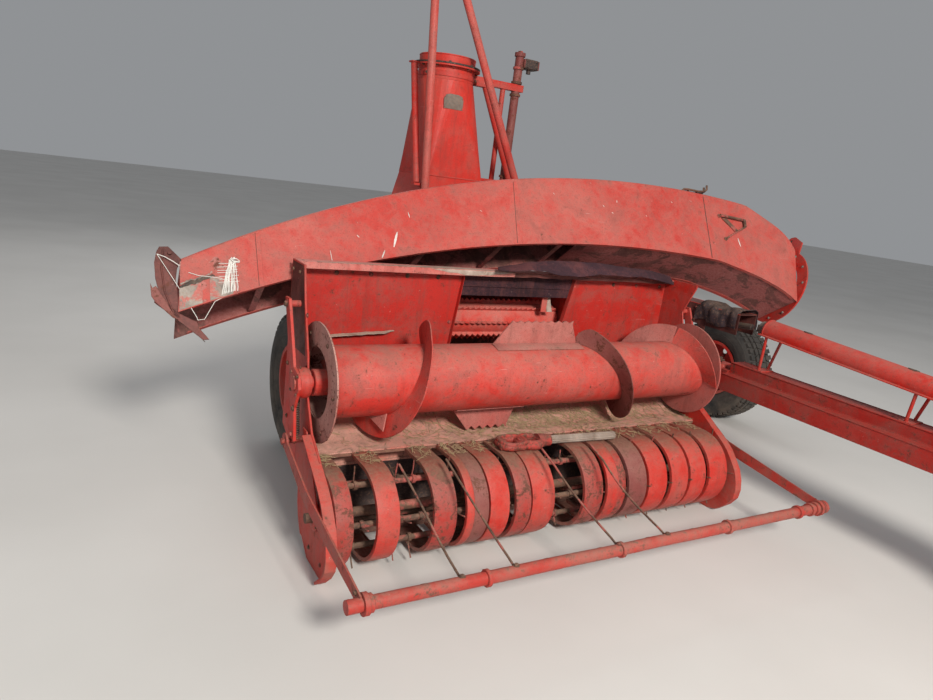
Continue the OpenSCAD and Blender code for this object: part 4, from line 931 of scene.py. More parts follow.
# ---------------------------------------------------------------- header's back wall
def header_wall():
    b = Mesh()
    xl = -1085
    zlo, zhi = 558, 1140

    def panel(x0a, x0b, x1a, x1b, sd):
        # x0a..x1a at the bottom, x0b..x1b at the top
        def at(sv, tv):
            z = 572 + (1139 - 572) * tv
            xa, xb = x0a + (x0b - x0a) * tv, x1a + (x1b - x1a) * tv
            x = xa + (xb - xa) * sv
            d = 2.2 * nz(x + sd, z, 0, 1 / 260.0) + 0.8 * nz(x, z, sd, 1 / 70.0)
            e = min(1.0, 6 * min(sv, 1 - sv, tv, 1 - tv))
            return (x, 303 - abs(d) * e * 0.9, z)
        b.grid(at, 40, 26, 4.6)
    panel(-1084, -1084, -331, -262, 1)
    panel(292, 411, 1084, 1084, 5)
    # turned edges of the feed opening
    for xa, xb in ((-331, -267), (292, 405)):
        s = -1 if xa < 0 else 1
        b.plate([(xa, 300, 572), (xb, 300, 1112), (xb, 278, 1112), (xa, 278, 572)], (3 * s, 0, 0))
    # beam over the feed opening
    b.box((-267, 300, 1112), (405, 306, 1140))
    b.box((-1084, 300, 558), (1084, 306, 573))
    o = b.make("wall_panels", [M_WALL], "header", "red_paint", ("header_wall",), sharp=35)

    t = Mesh()

    def rail(sv, tv):
        x = -1084 + 2168 * sv
        k = max(0.0, min(1.0, (x + 260) / 420))
        wav = k * (5.5 * math.sin(x / 88.0) + 6 * nz(x, 0, 3, 1 / 120.0))
        front = 1 - tv
        drop = k * front * (5 + 5 * nz(x, 9, 0, 1 / 80.0)) + 0.5 * nz(x, 2, 2, 1 / 40.0)
        y = 238.5 + 67 * tv + front * (max(0, wav) + 0.8)
        return (x, y, 1145.5 - max(0, drop))
    t.grid(rail, 150, 6, 3.6)

    def lip(sv, tv):
        x = -1084 + 2168 * sv
        k = max(0.0, min(1.0, (x + 260) / 420))
        wav = k * (5.5 * math.sin(x / 88.0) + 6 * nz(x, 0, 3, 1 / 120.0))
        drop = k * (5 + 5 * nz(x, 9, 0, 1 / 80.0)) + 0.5 * nz(x, 2, 2, 1 / 40.0)
        return (x, 239.3 + max(0, wav) + 0.8 + 1.5 * tv, 1145.5 - max(0, drop) - (27 - 9 * k) * tv)
    t.grid(lambda sv, tv: lip(sv * 0.495, tv), 76, 2, 3.0)
    # right-hand half of the lip in the dark sheet: painted shade under the slid sheet
    t.mi = 1
    t.grid(lambda sv, tv: lip(0.495 + sv * 0.505, tv), 76, 2, 3.0)
    t.make("wall_top_rail", [M_RAIL, M_DARK], "header", "faded_paint", sharp=30)
    # pale, bare stretches of the knocked front edge
    q = Mesh()

    def pale(sv, tv):
        x = -1010 + 965 * sv
        k = max(0.0, min(1.0, (x + 260) / 420))
        wav = k * (5.5 * math.sin(x / 88.0) + 6 * nz(x, 0, 3, 1 / 120.0))
        drop = k * (5 + 5 * nz(x, 9, 0, 1 / 80.0)) + 0.5 * nz(x, 2, 2, 1 / 40.0)
        q_ = (x + 1010) / 965.0
        wd = max(1.0, (12 + 40 * max(0.0, q_ - 0.35) / 0.30 if q_ < 0.65 else 52 - 49 * (q_ - 0.65) / 0.35) + 5 * nz(x, 4, 4, 1 / 60.0))
        return (x, 239.0 + max(0, wav) + 0.8 + wd * tv, 1148.2 - max(0, drop) * (1 - tv * wd / 67))
    q.grid(pale, 90, 2, 0.8)

    def pale_lip(sv, tv):
        x = -480 + 470 * sv
        k = max(0.0, min(1.0, (x + 260) / 420))
        wav = k * (5.5 * math.sin(x / 88.0) + 6 * nz(x, 0, 3, 1 / 120.0))
        drop = k * (5 + 5 * nz(x, 9, 0, 1 / 80.0)) + 0.5 * nz(x, 2, 2, 1 / 40.0)
        ht = min(25 - 9 * k, 1.0 + (25 - 9 * k) * (sv / 0.5 if sv < 0.5 else (1 - sv) / 0.5) * (1.15 + 0.5 * nz(x, 6, 6, 1 / 45.0)))
        return (x, 237.9 + max(0, wav) + 1.5 * tv * ht / 27, 1145.2 - max(0, drop) - ht * tv)
    q.grid(pale_lip, 90, 2, 0.8)
    # torn strip of the old crop scraper on the left-hand panel
    def torn(sv, tv):
        x = -1040 + 440 * sv
        end = 1.0 if sv < 0.86 else 1 - (sv - 0.86) / 0.14 * 0.9
        z = 812 + 26 * sv + 3 * nz(x, 1, 1, 1 / 40.0)
        return (x, 300 - 30 * tv * end - 3 * nz(x, tv, 0, 1 / 15.0) * tv, z - 3 * tv)
    q.grid(torn, 60, 3, 2.2)
    q.make("torn_strips", [M_TORN], "header", "bright_steel", sharp=50)
    # bolts of the panels and the angle at their foot
    h = Mesh()
    for x in (-1050, -900, -740, -560, -400, 520, 690, 860, 1040):
        for z in (596, 1096):
            if x == 520 and z > 1000:
                continue
            h.disc_hex((x, 300.4, z), (0, -1, 0), 7.5, 5.5)
    for x in (-1060, -700, -330, 560, 820, 1062):
        h.disc_hex((x, 272, 1147), (0, 0, 1), 7, 0.9, washer=False)
    for z in (640, 760, 880):
        h.disc_hex((-352 + (z - 560) * 0.116, 300.4, z), (0, -1, 0), 6, 5)
        h.disc_hex((318 + (z - 560) * 0.205, 300.4, z), (0, -1, 0), 6, 5)
    h.make("wall_bolts", [MATS["rusty_steel"]], "header", "rusty_steel")


# ---------------------------------------------------------------- auger
def auger():
    b = Mesh()
    R = 149.2

    def skin(sv, tv):
        x = -1052 + 2104 * sv
        a = 2 * math.pi * tv
        c, s = math.cos(a), math.sin(a)
        d = 2.6 * nz(x, c * 160, s * 160, 1 / 190.0) + 1.0 * nz(x, c * 160, s * 160, 1 / 55.0)
        r = R - abs(d) * min(1, 8 * sv, 8 * (1 - sv))
        return (x, r * c, 700 + r * s)
    b.grid(skin, 120, 72, 0)
    # recessed left-hand end, its ring and hub
    b.mi = 1
    b.rev([(-1060, 144), (-1060, 244.5), (-1053, 244.5), (-1052, 151), (-1053, 144), (-962, 144), (-960, 30), (-958, 30), (-958, 148), (-1050, 148)], (0, 0, 700), (1, 0, 0), 72)
    b.mi = 0
    b.rev([(-1078, 31), (-1078, 50), (-1075, 54), (-962, 54), (-958, 48), (-958, 31)], (0, 0, 700), (1, 0, 0), 40)
    for k in range(3):
        a = math.radians(20 + 120 * k)
        c, s = math.cos(a), math.sin(a)
        q = [(-1000, 50 * c - 5 * s, 700 + 50 * s + 5 * c), (-1000, 146 * c - 5 * s, 700 + 146 * s + 5 * c), (-962, 146 * c - 5 * s, 700 + 146 * s + 5 * c), (-962, 50 * c - 5 * s, 700 + 50 * s + 5 * c)]
        b.plate(q, (0, 10 * s, -10 * c))
    # right-hand disc
    b.mi = 2
    b.rev([(1030, 149.6), (1030, 244.5), (1038, 244.5), (1038, 149.6)], (0, 0, 700), (1, 0, 0), 72)
    b.rev([(1043, 0.5), (1043, 148), (1050, 149), (1050, 0.5)], (0, 0, 700), (1, 0, 0), 72)
    b.mi = 0
    # weld beads round the tube's ends
    for x in (-1051, 1050.5):
        b.tube([(x, 152 * math.cos(q), 700 + 152 * math.sin(q)) for q in [2 * math.pi * i / 72 for i in range(73)]], 4.2, 6, caps=False)
    b.tube([(-1156, 0, 700), (-958, 0, 700)], 29.5, 24)
    b.tube([(1048, 0, 700), (1170, 0, 700)], 29.5, 24)

    b.mi = 2
    # paddles: (from, to, angle, tooth depth)
    for x0, x1, ang, tooth in ((-247, 237, 0, 10), (-420, -70, 180, 18)):
        n = int(round((x1 - x0 - 140) / 22))
        r = 150
        out = [(x0, r - 3), (x0 + 80, r + 92)] + [(x0 + 96 + i * 22, r + 110 - (i % 2) * tooth - (4 * abs(nz(i, 1, 1)) if tooth < 5 else 0)) for i in range(n + 1)] + [(x1 - 38, r + 92), (x1, r - 3)]
        sg = 1 if ang == 0 else -1
        pts = [(x, 3 * sg, 700 + sg * z) for x, z in out]
        b.plate(pts, (0, -6 * sg, 0))
        # foot strip welded to the tube
        def foot(sv, tv, x0=x0, x1=x1, sg=sg):
            a = math.radians(90 if sg > 0 else 270) - sg * (0.02 + 0.42 * tv)
            return (x0 - 6 + (x1 - x0 + 12) * sv, -151.3 * math.cos(a) * (1), 700 + 151.3 * math.sin(a))
        b.grid(foot, 14, 5, 3.0)
    b.make("auger_tube", [M_AUGER, M_RING, M_DUSTY], "auger", "red_paint", ("auger_body",), sharp=35)

    f = Mesh()

    def flight(x0, lead, a00, a0, a1, sg, n, out=0.0, t0=14, t1=14, bend=0.0):
        """sg +1: x grows with the angle; -1: x falls. out: how far the rim runs on past the root."""
        def at(sv, tv):
            a = a0 + (a1 + out * tv - a0) * sv
            x = (x0 + lead * (a - a00) / 360 - bend * max(0.0, (180 - a) / 90.0) ** 1.5) * sg
            e = min(1.0, sv * t0, (1 - sv) * t1 + (0.0 if t1 else 1.0)) ** 0.6
            r1 = 151 + (244 - 151) * (0.35 + 0.65 * e) - 2.5 * abs(nz(a, 3, x0, 1 / 14.0))
            if sg < 0 or x0 > 400:
                r1 += 15 * math.exp(-((a - 94) / 15.0) ** 2)
            r = 150.5 + (r1 - 150.5) * tv
            q = math.radians(a)
            return (x + 4.5 * tv * nz(a, 1, x0, 1 / 30.0), r * math.cos(q), 700 + r * math.sin(q))
        f.grid(at, n, 6, 5.0)
        # weld bead
        f.tube([((x0 + lead * (a - a00) / 360 - bend * max(0.0, (180 - a) / 90.0) ** 1.5) * sg, 152 * math.cos(math.radians(a)), 700 + 152 * math.sin(math.radians(a))) for a in [a0 + (a1 - a0) * i / n for i in range(n + 1)]], 3.6, 6)
    flight(518, 430, 30, 30, 276, -1, 90, out=26.0, t1=0)
    # the first stretch of the right-hand flight in the darker sheet: painted shade on the face turned from the light
    f.mi = 1
    flight(281, 583, 90, 90, 300, 1, 76, t1=0, bend=48.0)
    f.mi = 2
    flight(281, 583, 90, 300, 458, 1, 56, t0=1000, t1=0)
    f.mi = 0
    flight(281, 583, 90, 458, 549, 1, 34, t0=1000, t1=0)
    # gusset on the left-hand flight's foot

    def on(x, r, a):
        return (x, r * math.cos(math.radians(a)), 700 + r * math.sin(math.radians(a)))
    f.mi = 2
    f.plate([on(-826, 150, 279), on(-776, 150, 233), on(-788, 218, 243)], (-5, 1, 1))
    f.make("auger_flight_sheets", [M_AUGER, M_WORN_AND_SHADE, M_DUSTY], "auger", "red_paint", ("auger_flights",), sharp=40)
    h = Mesh()
    for k in range(8):
        a = math.radians(22 + 45 * k)
        h.disc_hex((1060.4, 196 * math.cos(a), 700 + 196 * math.sin(a)), (1, 0, 0), 8, 5)
    for k in range(6):
        a = math.radians(60 * k)
        h.disc_hex((-1060.4, 205 * math.cos(a), 700 + 205 * math.sin(a)), (-1, 0, 0), 7, 4.5)
    h.make("auger_bolts", [MATS["rusty_steel"]], "auger", "rusty_steel")


# ---------------------------------------------------------------- pick-up
# middle, width, material and how far each one stands proud
BANDS = [(-1050, 66, 2, 0), (-873, 90, 0, 0), (-627, 100, 2, 0), (-510, 33, 0, 0), (-458, 71, 1, -3), (-367, 92, 0, 0), (-247, 74, 2, 0), (-145, 116, 0, 0),
         (138, 104, 2, 0), (254.5, 67, 0, 0), (311, 44, 2, -3), (408, 111, 1, 0), (541, 118, 0, 0), (691, 112, 0, 0), (819, 108, 0, 0), (969, 130, 0, 0)]
TINES = [-967, -790, -715, -552, -302, -45, 40, 205, 343, 473, 617, 756, 888.5, 1060]


def bands():
    b = Mesh()
    h = Mesh()
    for k, (x0, wd, mat, out) in enumerate(BANDS):
        b.mi = mat
        bend = 3.0 * nz(k * 3.1, 0, 0)
        path = []
        for i in range(6):
            path.append((-90 - 130 * i / 6.0, 421.5))
        for i in range(49):
            a = math.radians(90 + 180 * i / 48.0)
            path.append((-220 + 197.5 * math.cos(a), 224 + 197.5 * math.sin(a)))
        for i in range(1, 6):
            path.append((-220 + 160 * i / 5.0, 26.5))

        def at(sv, tv, path=path, wd=wd, x0=x0, bend=bend, k=k, out=out):
            i = int(round(sv * (len(path) - 1)))
            y, z = path[i]
            wob = 0.5 + 0.5 * math.sin(math.pi * sv)
            w2 = (wd - 1.5 * abs(nz(i * 0.7, k, tv * 0.1))) / 2
            # turned-in edges, a shallow crown across the band, and knocks
            t = max(0.0, min(1.0, (tv - 0.1) / 0.8))
            rr = out - 2.2 * abs(2 * t - 1) ** 3 - 2.0 * abs(nz(i * 0.35, k * 5, t * 2)) * wob
            if tv < 0.05 or tv > 0.95:
                rr -= 15.0
            dy, dz = y + 220, z - 224
            L = math.hypot(dy, dz) or 1
            return (x0 + bend * wob + w2 * (2 * t - 1), y + dy / L * rr, z + dz / L * rr)
        b.grid(at, len(path) - 1, 10, 3.0)
        for dx in (-wd * 0.28, wd * 0.28):
            h.disc_hex((x0 + dx, -104, 423.6), (0, 0, 1), 6.0, 3.6)
    b.mi = 1
    # the strips that join them
    b.box((-1084, -92, 407), (1084, -80, 419))
    b.box((-1084, -70, 29), (1084, -60, 60))
    b.make("band_sheets", [M_BAND, M_BANDW, M_BAND2], "header", "red_paint", ("stripper_bands",), sharp=40)
    h.make("band_bolts", [MATS["rusty_steel"]], "header", "rusty_steel")


def reel():
    b = Mesh()
    for k in range(5):
        a = math.radians(k * 72 + 30)
        for i, x in enumerate(TINES):
            short = abs(x) < 360
            R1 = 188.0 if short else 215.0 - 7 * abs(nz(i, k, 3))
            lean = 0.05 + 0.05 * nz(i * 1.7, k * 2.3, 1)
            cy, cz = -220 + 132 * math.cos(a), 224 + 132 * math.sin(a)
            side = 1 if i % 2 else -1
            # coil round the tine bar, then the prong
            pts = []
            for j in range(0, 37):
                q = a + math.pi * 2 * j / 12.0
                rr = 16.0
                pts.append((x - side * 15 + side * 15 * j / 36.0, cy + rr * math.cos(q), cz + rr * math.sin(q)))
            for j in range(1, 7):
                t = j / 6.0
                r = 148 + (R1 - 148) * t
                q = a - lean * t
                pts.append((x + 2.0 * nz(i, k, t) * t, -220 + r * math.cos(q), 224 + r * math.sin(q)))
            b.tube(pts, 3.2, 6)
    b.make("reel_spring_tines", [MATS["rusty_steel"]], "pickup_reel", "rusty_steel", ("reel_tines",), sharp=60)
    h = Mesh()
    for x in (-1040, -360, 360, 1034):
        for sx in (-1, 1):
            px = x if sx < 0 else x + 6
            h.rev([(0, 21), (0, 44), (sx * 10, 44), (sx * 14, 36), (sx * 14, 21)], (px, -220, 224), (1, 0, 0), 32)
            for k in range(4):
                a = math.radians(45 + 90 * k)
                h.disc_hex((px + sx * 10, -220 + 34 * math.cos(a), 224 + 34 * math.sin(a)), (sx, 0, 0), 5, 4)
        for k in range(5):
            a = math.radians(k * 72 + 30)
            h.disc_hex((x + 6, -220 + 100 * math.cos(a), 224 + 100 * math.sin(a)), (1, 0, 0), 7, 6)
    h.make("reel_hubs", [MATS["rusty_steel"]], "pickup_reel", "rusty_steel")


def pan():
    b = Mesh()

    def skin(sv, tv):
        x = -1082 + 2164 * sv
        a = math.radians(-30 - 60 * tv)
        d = 1.6 * abs(nz(x, tv * 300, 0, 1 / 120.0))
        if tv > 0.999:
            return (x, -84, 425.4 - 0.2)
        r = 271.4 - d
        y, z = r * math.cos(a), 700 + r * math.sin(a)
        return (x, y, z)
    b.grid(skin, 90, 22, 1.0)
    # joints of the pan's sheets
    for x in (-420, 380):
        b.tube([(x, 270.6 * math.cos(math.radians(q)), 700 + 270.6 * math.sin(math.radians(q))) for q in range(-88, -29, 4)], 2.6, 6)
    b.make("pan_skin", [MATS["dusty_pan"]], "header", "dusty_pan", sharp=40)
    # near-black inner face of the curved skirt behind the reel: painted shade of the hollow under the bands
    w = Mesh()

    def grime_and_shade(sv, tv):
        x = -1083 + 2166 * sv
        a = math.radians(29 - 72 * tv)
        r = 228.3 - 0.5 * abs(nz(x, a * 60, 2, 1 / 80.0))
        return (x, -220 + r * math.cos(a), 224 + r * math.sin(a))
    w.grid(grime_and_shade, 60, 16, 0.5)
    w.make("skirt_painted_shade", [M_SHADE_RAG], "header", "rusty_steel", sharp=50)
    # chaff: thin bits lying on the pan and the bands' heads
    s = Mesh()
    rnd = random.Random(11)
    for i in range(2600):
        if i % 5 == 0:
            y = rnd.uniform(-215, -95)
            z = 425.4
            k, wd = rnd.choice(BANDS)[:2]
            x = k + rnd.uniform(-wd / 2 + 8, wd / 2 - 8)
            ny, nz_ = 0.0, 1.0
        else:
            x = min(1070, max(-1070, rnd.gauss(250, 520)))
            a = math.radians(rnd.uniform(-90, -62) if rnd.random() < 0.8 else rnd.uniform(-62, -40))
            y, z = 270.0 * math.cos(a), 700 + 270.0 * math.sin(a)
            if rnd.random() < 0.35:
                y, z = rnd.uniform(-84, 0), 700 - math.sqrt(270.0 ** 2 - 0) + 0
                z = 425.6 if y < -40 else 700 - math.sqrt(270.5 ** 2 - y * y)
            ny, nz_ = (-y, 700 - z)
            L = math.hypot(ny, nz_)
            ny, nz_ = ny / L, nz_ / L
        th = rnd.uniform(0, math.pi)
        ln = rnd.uniform(14, 46) * (1 if rnd.random() < 0.85 else 1.8)
        w = rnd.uniform(1.2, 3.2)
        tx, ty, tz = math.cos(th), math.sin(th) * nz_, -math.sin(th) * ny
        lift = rnd.uniform(1.4, 4.2)
        c = Vector((x, y + ny * lift, z + nz_ * lift))
        t = Vector((tx, ty, tz + rnd.uniform(-0.14, 0.16))).normalized()
        n = Vector((0, ny, nz_))
        sdir = t.cross(n).normalized()
        p = [c - t * ln / 2 - sdir * w / 2, c + t * ln / 2 - sdir * w / 2, c + t * ln / 2 + sdir * w / 2, c - t * ln / 2 + sdir * w / 2]
        s.plate([tuple(q) for q in p], tuple(n * 0.7))
    s.make("pan_chaff", [M_STRAW], "header", "dusty_pan", sharp=20)


# ---------------------------------------------------------------- header ends
def coil(b, p0, p1, R, r, turns, seg=7, n=10):
    p0, p1 = Vector(p0), Vector(p1)
    ax = (p1 - p0).normalized()
    e1 = ax.orthogonal().normalized()
    e2 = ax.cross(e1)
    pts = []
    for i in range(turns * n + 1):
        q = 2 * math.pi * i / n
        pts.append(p0 + (p1 - p0) * (i / (turns * n)) + e1 * (R * math.cos(q)) + e2 * (R * math.sin(q)))
    b.tube(pts, r, seg)


def header_ends():
    b = Mesh()
    k = Mesh()
    sp = Mesh()
    for s in (-1, 1):
        x = s * 1093.0
        # bolts of the side plates
        for y, z in ((60, 960), (190, 1110), (280, 1110), (280, 900), (280, 700), (250, 470), (120, 400), (-60, 250), (-160, 60), (-300, 60), (-410, 160), (-400, 250), (-170, 420)):
            if s < 0 or y < 200:
                k.disc_hex((x + s * 0.3, y, z), (s, 0, 0), 7, 5.5)
        # edge bead along the front of the plate
        edge = ([(150, 1146), (110, 1000)] if s < 0 else [(74, 1146), (76, 1130), (109, 1060), (141, 985), (110, 880)]) + [(30, 800), (0, 640), (-84, 512), (-140, 480), (-204, 441)]
        b.tube([(x - s * 4, y, z) for y, z in edge], 5.0, 8)
        # bearing housings
        b.rev([(0, 22), (0, 54), (s * 12, 54), (s * 20, 40), (s * 20, 22)], (x, -220, 224), (1, 0, 0), 40)
        for q in range(3):
            a = math.radians(90 + 120 * q)
            k.disc_hex((x + s * 12, -220 + 46 * math.cos(a), 224 + 46 * math.sin(a)), (s, 0, 0), 5.5, 5)
        # auger bearing: cast housing, its bolts and grease nipple
        xa = s * (1093 + 54)
        b.rev([(0, 33), (0, 50), (-s * 18, 56), (-s * 30, 62), (-s * 44, 62), (-s * 44, 33)], (xa, 0, 700), (1, 0, 0), 40)
        for q in range(4):
            a = math.radians(45 + 90 * q)
            k.disc_hex((xa, 52 * math.cos(a), 700 + 52 * math.sin(a)), (s, 0, 0), 7, 6)
        k.cyl((xa - s * 20, 0, 756), (0, 0, 1), 3.2, 12, 10)
        # draw spring of the floating auger and its adjusting rod
        y0, z0 = 38, 610
        coil(sp, (x + s * 30, y0 - 20, 470), (x + s * 30, y0 + 6, z0), 15, 3.0, 15)
        k.tube([(x + s * 30, y0 - 24, 440), (x + s * 30, y0 + 12, 660)], 5, 10)
        k.disc_hex((x + s * 30, y0 - 21, 462), (0, -0.2, 1), 11, 8)
        k.disc_hex((x + s * 30, y0 + 8, 616), (0, 0.1, 1), 11, 8)
        # lever's pivot bolts
        k.disc_hex((s * 1149.2, 162, 985), (s, 0, 0), 12, 9)
        k.disc_hex((s * 1149.2, -14, 600), (s, 0, 0), 9, 7)
        k.disc_hex((s * 1149.2, -12, 490), (s, 0, 0), 9, 7)
    # dark sheet on the outside of the left-hand plate, under the rail: painted shade
    gr = Mesh()
    gr.grid(lambda sv, tv: (-1093.5, (150 - 0.27 * 350 * sv) + (300 - (150 - 0.27 * 350 * sv)) * tv + (2 if tv < 0.01 else 0), 1142 - 350 * sv), 12, 6, 0.7)
    gr.make("left_plate_painted_shade", [M_DARK], "header", "red_paint")
    # left-hand shield strip beside the ring
    b.plate([(-1103, -70, 520), (-1103, -20, 520), (-1103, -210, 270), (-1103, -262, 270)], (-5, 0, 0))
    b.make("header_end_castings", [MATS["red_paint"]], "header", "red_paint", sharp=35)
    k.make("header_end_bolts", [MATS["rusty_steel"]], "header", "rusty_steel")
    sp.make("float_springs", [MATS["dark_iron"]], "header", "dark_iron", sharp=60)
    # roller chain and sprocket teeth on the right-hand side
    c = Mesh()
    for (yc, zc, rr, nt) in ((0, 700, 105, 30), (250, 820, 60, 17)):
        for i in range(nt):
            a = 2 * math.pi * i / nt
            e = (math.cos(a), math.sin(a))
            t = (-math.sin(a), math.cos(a))
            q = [(1157, yc + e[0] * (rr - 3) - t[0] * 6, zc + e[1] * (rr - 3) - t[1] * 6), (1157, yc + e[0] * (rr - 3) + t[0] * 6, zc + e[1] * (rr - 3) + t[1] * 6),
                 (1157, yc + e[0] * (rr + 7) + t[0] * 2, zc + e[1] * (rr + 7) + t[1] * 2), (1157, yc + e[0] * (rr + 7) - t[0] * 2, zc + e[1] * (rr + 7) - t[1] * 2)]
            c.plate(q, (8, 0, 0))
    n = 22
    for sgn in (-1, 1):
        d = Vector((0, 250, 120)).normalized()
        o = Vector((0, -d.z, d.y)) * sgn
        p0 = Vector((1161, 0, 700)) + o * 106
        p1 = Vector((1161, 250, 820)) + o * 62
        for i in range(n):
            q = p0 + (p1 - p0) * ((i + 0.5) / n)
            c.cyl(q - Vector((7, 0, 0)), (1, 0, 0), 4.4, 14, 10)
            if i < n - 1:
                q2 = p0 + (p1 - p0) * ((i + 1.5) / n)
                side = 5.4 if i % 2 else 3.2
                for sx in (-side, side):
                    u = (q2 - q).normalized()
                    w = Vector((0, -u.z, u.y)) * 4.2
                    c.plate([tuple(q - u * 3 - w + Vector((sx, 0, 0))), tuple(q2 + u * 3 - w + Vector((sx, 0, 0))), tuple(q2 + u * 3 + w + Vector((sx, 0, 0))), tuple(q - u * 3 + w + Vector((sx, 0, 0)))], (1.4, 0, 0))
    c.make("header_chain", [MATS["dark_iron"]], "header", "dark_iron")


# ---------------------------------------------------------------- loose yoke
def yoke():
    b = Mesh()
    M = Matrix.Translation((-180, -190, 456)) @ Matrix.Rotation(math.radians(-3), 4, "Z")

    def T(p):
        return tuple(M @ Vector(p))
    # cast body: two rounded eyes side by side, joined by a thick web, and a neck for the shaft
    def loop(cx, cy, ax_, ay, r, z, ra=1.0):
        pts = []
        for i in range(41):
            q = 2 * math.pi * i / 40
            c_, s_ = math.cos(q), math.sin(q)
            e = 2.6
            pts.append(T((cx + ax_ * math.copysign(abs(c_) ** (2 / e), c_), cy + ay * math.copysign(abs(s_) ** (2 / e), s_), z + 2.0 * nz(q, cx, z, 0.7))))
        b.tube(pts, r, 14, caps=False, r_at=lambda t: r * (1 + 0.10 * math.sin(t * 13 + cx)))
    loop(-24, -10, 57, 47, 17.5, -13)
    loop(66, -10, 50, 45, 17.5, -13)
    loop(-24, -10, 60, 50, 11.5, 1)
    loop(68, -10, 47, 43, 12.5, 0)
    b.tube([T((20, -58, -12)), T((22, -10, -9)), T((20, 38, -12))], 18, 16)
    b.tube([T((-82, -42, -14)), T((-86, -10, -12)), T((-80, 22, -14))], 16.5, 14)
    b.tube([T((108, -10, -11)), T((132, -8, -10)), T((156, -6, -10)), T((179, -5, -10))], 30, 24, r_at=lambda t: 36 - 12 * t)
    b.rev([(0, 20), (0, 28), (20, 27), (20, 20)], T((160, -5.5, -10)), tuple(M.to_3x3() @ Vector((1, 0, 0))), 28)
    # bosses
    for x, y, r, h in ((-74, -10, 17, 6), (21, -10, 17, 7)):
        b.rev([(0, 0.5), (0, r), (h - 3, r), (h, r - 4), (h, 0.5)], T((x, y, 3)), (0, 0, 1), 28)
    b.make("yoke_casting", [M_YOKE], "header", "red_paint", ("loose_yoke",), sharp=38)
    s = Mesh()
    # splined shaft
    vs, fs = [], []
    nsp, L0, L1 = 12, 176, 559
    prof = []
    for i in range(nsp * 4):
        a = 2 * math.pi * i / (nsp * 4)
        prof.append((19.6 if (i % 4) < 2 else 16.4, a))
    m = len(prof)
    for x in (L0, L1 - 2, L1):
        for r, a in prof:
            k = 0.93 if x == L1 else 1.0
            vs.append(T((x, -5 + k * r * math.cos(a), -10 + k * r * math.sin(a))))
    for r in range(2):
        for i in range(m):
            fs.append((r * m + i, r * m + (i + 1) % m, (r + 1) * m + (i + 1) % m, (r + 1) * m + i))
    fs.append(tuple(range(2 * m, 3 * m)))
    fs.append(tuple(reversed(range(m))))
    s._add(vs, fs)
    s.make("yoke_splined_shaft", [M_STEEL], "header", "bright_steel", sharp=25)


# ---------------------------------------------------------------- wind guard
def wind_guard():
    b = Mesh()
    Y, Z = -850, 260

    def barpt(x):
        return (x, Y + 5 * math.sin((x + 1210) / 2420 * math.pi) + 1.5 * nz(x, 0, 0, 1 / 300.0), Z - 3 * math.sin((x + 1210) / 2420 * math.pi) + 1.2 * nz(x, 5, 0, 1 / 240.0))
    b.tube([barpt(-1209 + 2418 * i / 60.0) for i in range(61)], 23.2, 28)
    for s in (-1, 1):
        x0, x1 = (1157.5, 1166.5) if s > 0 else (-1166.5, -1157.5)

        def arm(sv, tv, s=s, x0=x0):
            top = [(Y, Z + 29), (-280, 371), (40, 473)]
            bot = [(Y, Z - 13), (-270, 313), (30, 421)]
            T_ = _resample([list(p) for p in top], 24)[int(round(sv * 24))]
            B_ = _resample([list(p) for p in bot], 24)[int(round(sv * 24))]
            y = B_[0] + (T_[0] - B_[0]) * tv
            z = B_[1] + (T_[1] - B_[1]) * tv
            return ((x0 + 4.5) + 1.0 * nz(y, z, s, 1 / 160.0), y, z)
        b.grid(arm, 24, 4, 7.0)
        b.rev([(-4.4, 13), (-4.4, 33), (4.4, 33), (4.4, 13)], (x0 + 4.5, 20, 450), (1, 0, 0), 36)
        b.tube([(s * 1089, 20, 450), (s * 1179, 20, 450)], 11.5, 20)
        # clamp plates where the arm holds the bar
        b.rev([(-9, 24), (-9, 37), (9, 37), (9, 24)], (s * 1162 - s * 14, Y, Z), (1, 0, 0), 30)
    # collars along the bar
    for x in (-1130, -700, -90, 520, 1000, 1090, 1125, 1192):
        b.rev([(-8, 23.5), (-8, 29), (-6, 31), (6, 31), (8, 29), (8, 23.5)], barpt(x), (1, 0, 0), 30)
    b.make("wind_guard_frame", [M_GUARD], "wind_guard", "red_paint", ("wind_guard",), sharp=35)
    r = Mesh()
    for j, x in enumerate((-800, -580, -100, 160)):
        p0 = barpt(x)
        pts = [(p0[0], p0[1] + 4, p0[2] + 10)]
        for i in range(1, 9):
            t = i / 8.0
            pts.append((x - 14 * t + 14 * math.sin(t * 3 + j) * t, p0[1] + (-430 - p0[1]) * t, 270 + (424 - 270) * t - 18 * math.sin(math.pi * t)))
        for i in range(1, 5):
            t = i / 4.0
            pts.append((x - 14 - 6 * t + 14 * math.sin(3 + j), -430 + 100 * t, 424 + 44 * t - 4 * t * t))
        r.tube(pts, 4.6, 10)
        r.disc_hex((p0[0], p0[1] + 3, p0[2] + 22), (0, 0.2, 1), 9, 7)
    # empty holes of the other rods, with their rims
    for k in range(-4, 5):
        x = k * 250 + 60
        p0 = barpt(x)
        d = Vector((0, 0.62, 0.78))
        c = Vector(p0) + d * 22.8
        r.rev([(0, 3), (0, 9), (1.2, 8.4), (1.2, 6.4), (0.6, 3)], c, d, 18)
    # spring and split pin at the bar's right-hand end
    coil(r, (1132, Y, Z), (1184, Y, Z), 28.5, 2.8, 5)
    r.tube([(1200, Y - 30, Z + 4), (1200, Y + 30, Z - 4)], 3.6, 8)
    for s in (-1, 1):
        r.disc_hex((s * 1179, 20, 450), (s, 0, 0), 13, 1, washer=False)
        r.tube([(s * 1174, 6, 468), (s * 1174, 32, 430)], 2.4, 8)
        r.disc_hex((s * 1167, Y + 30, Z + 24), (s, 0, 0), 7, 6)
    r.make("wind_guard_rods", [MATS["rusty_steel"]], "wind_guard", "rusty_steel", sharp=45)


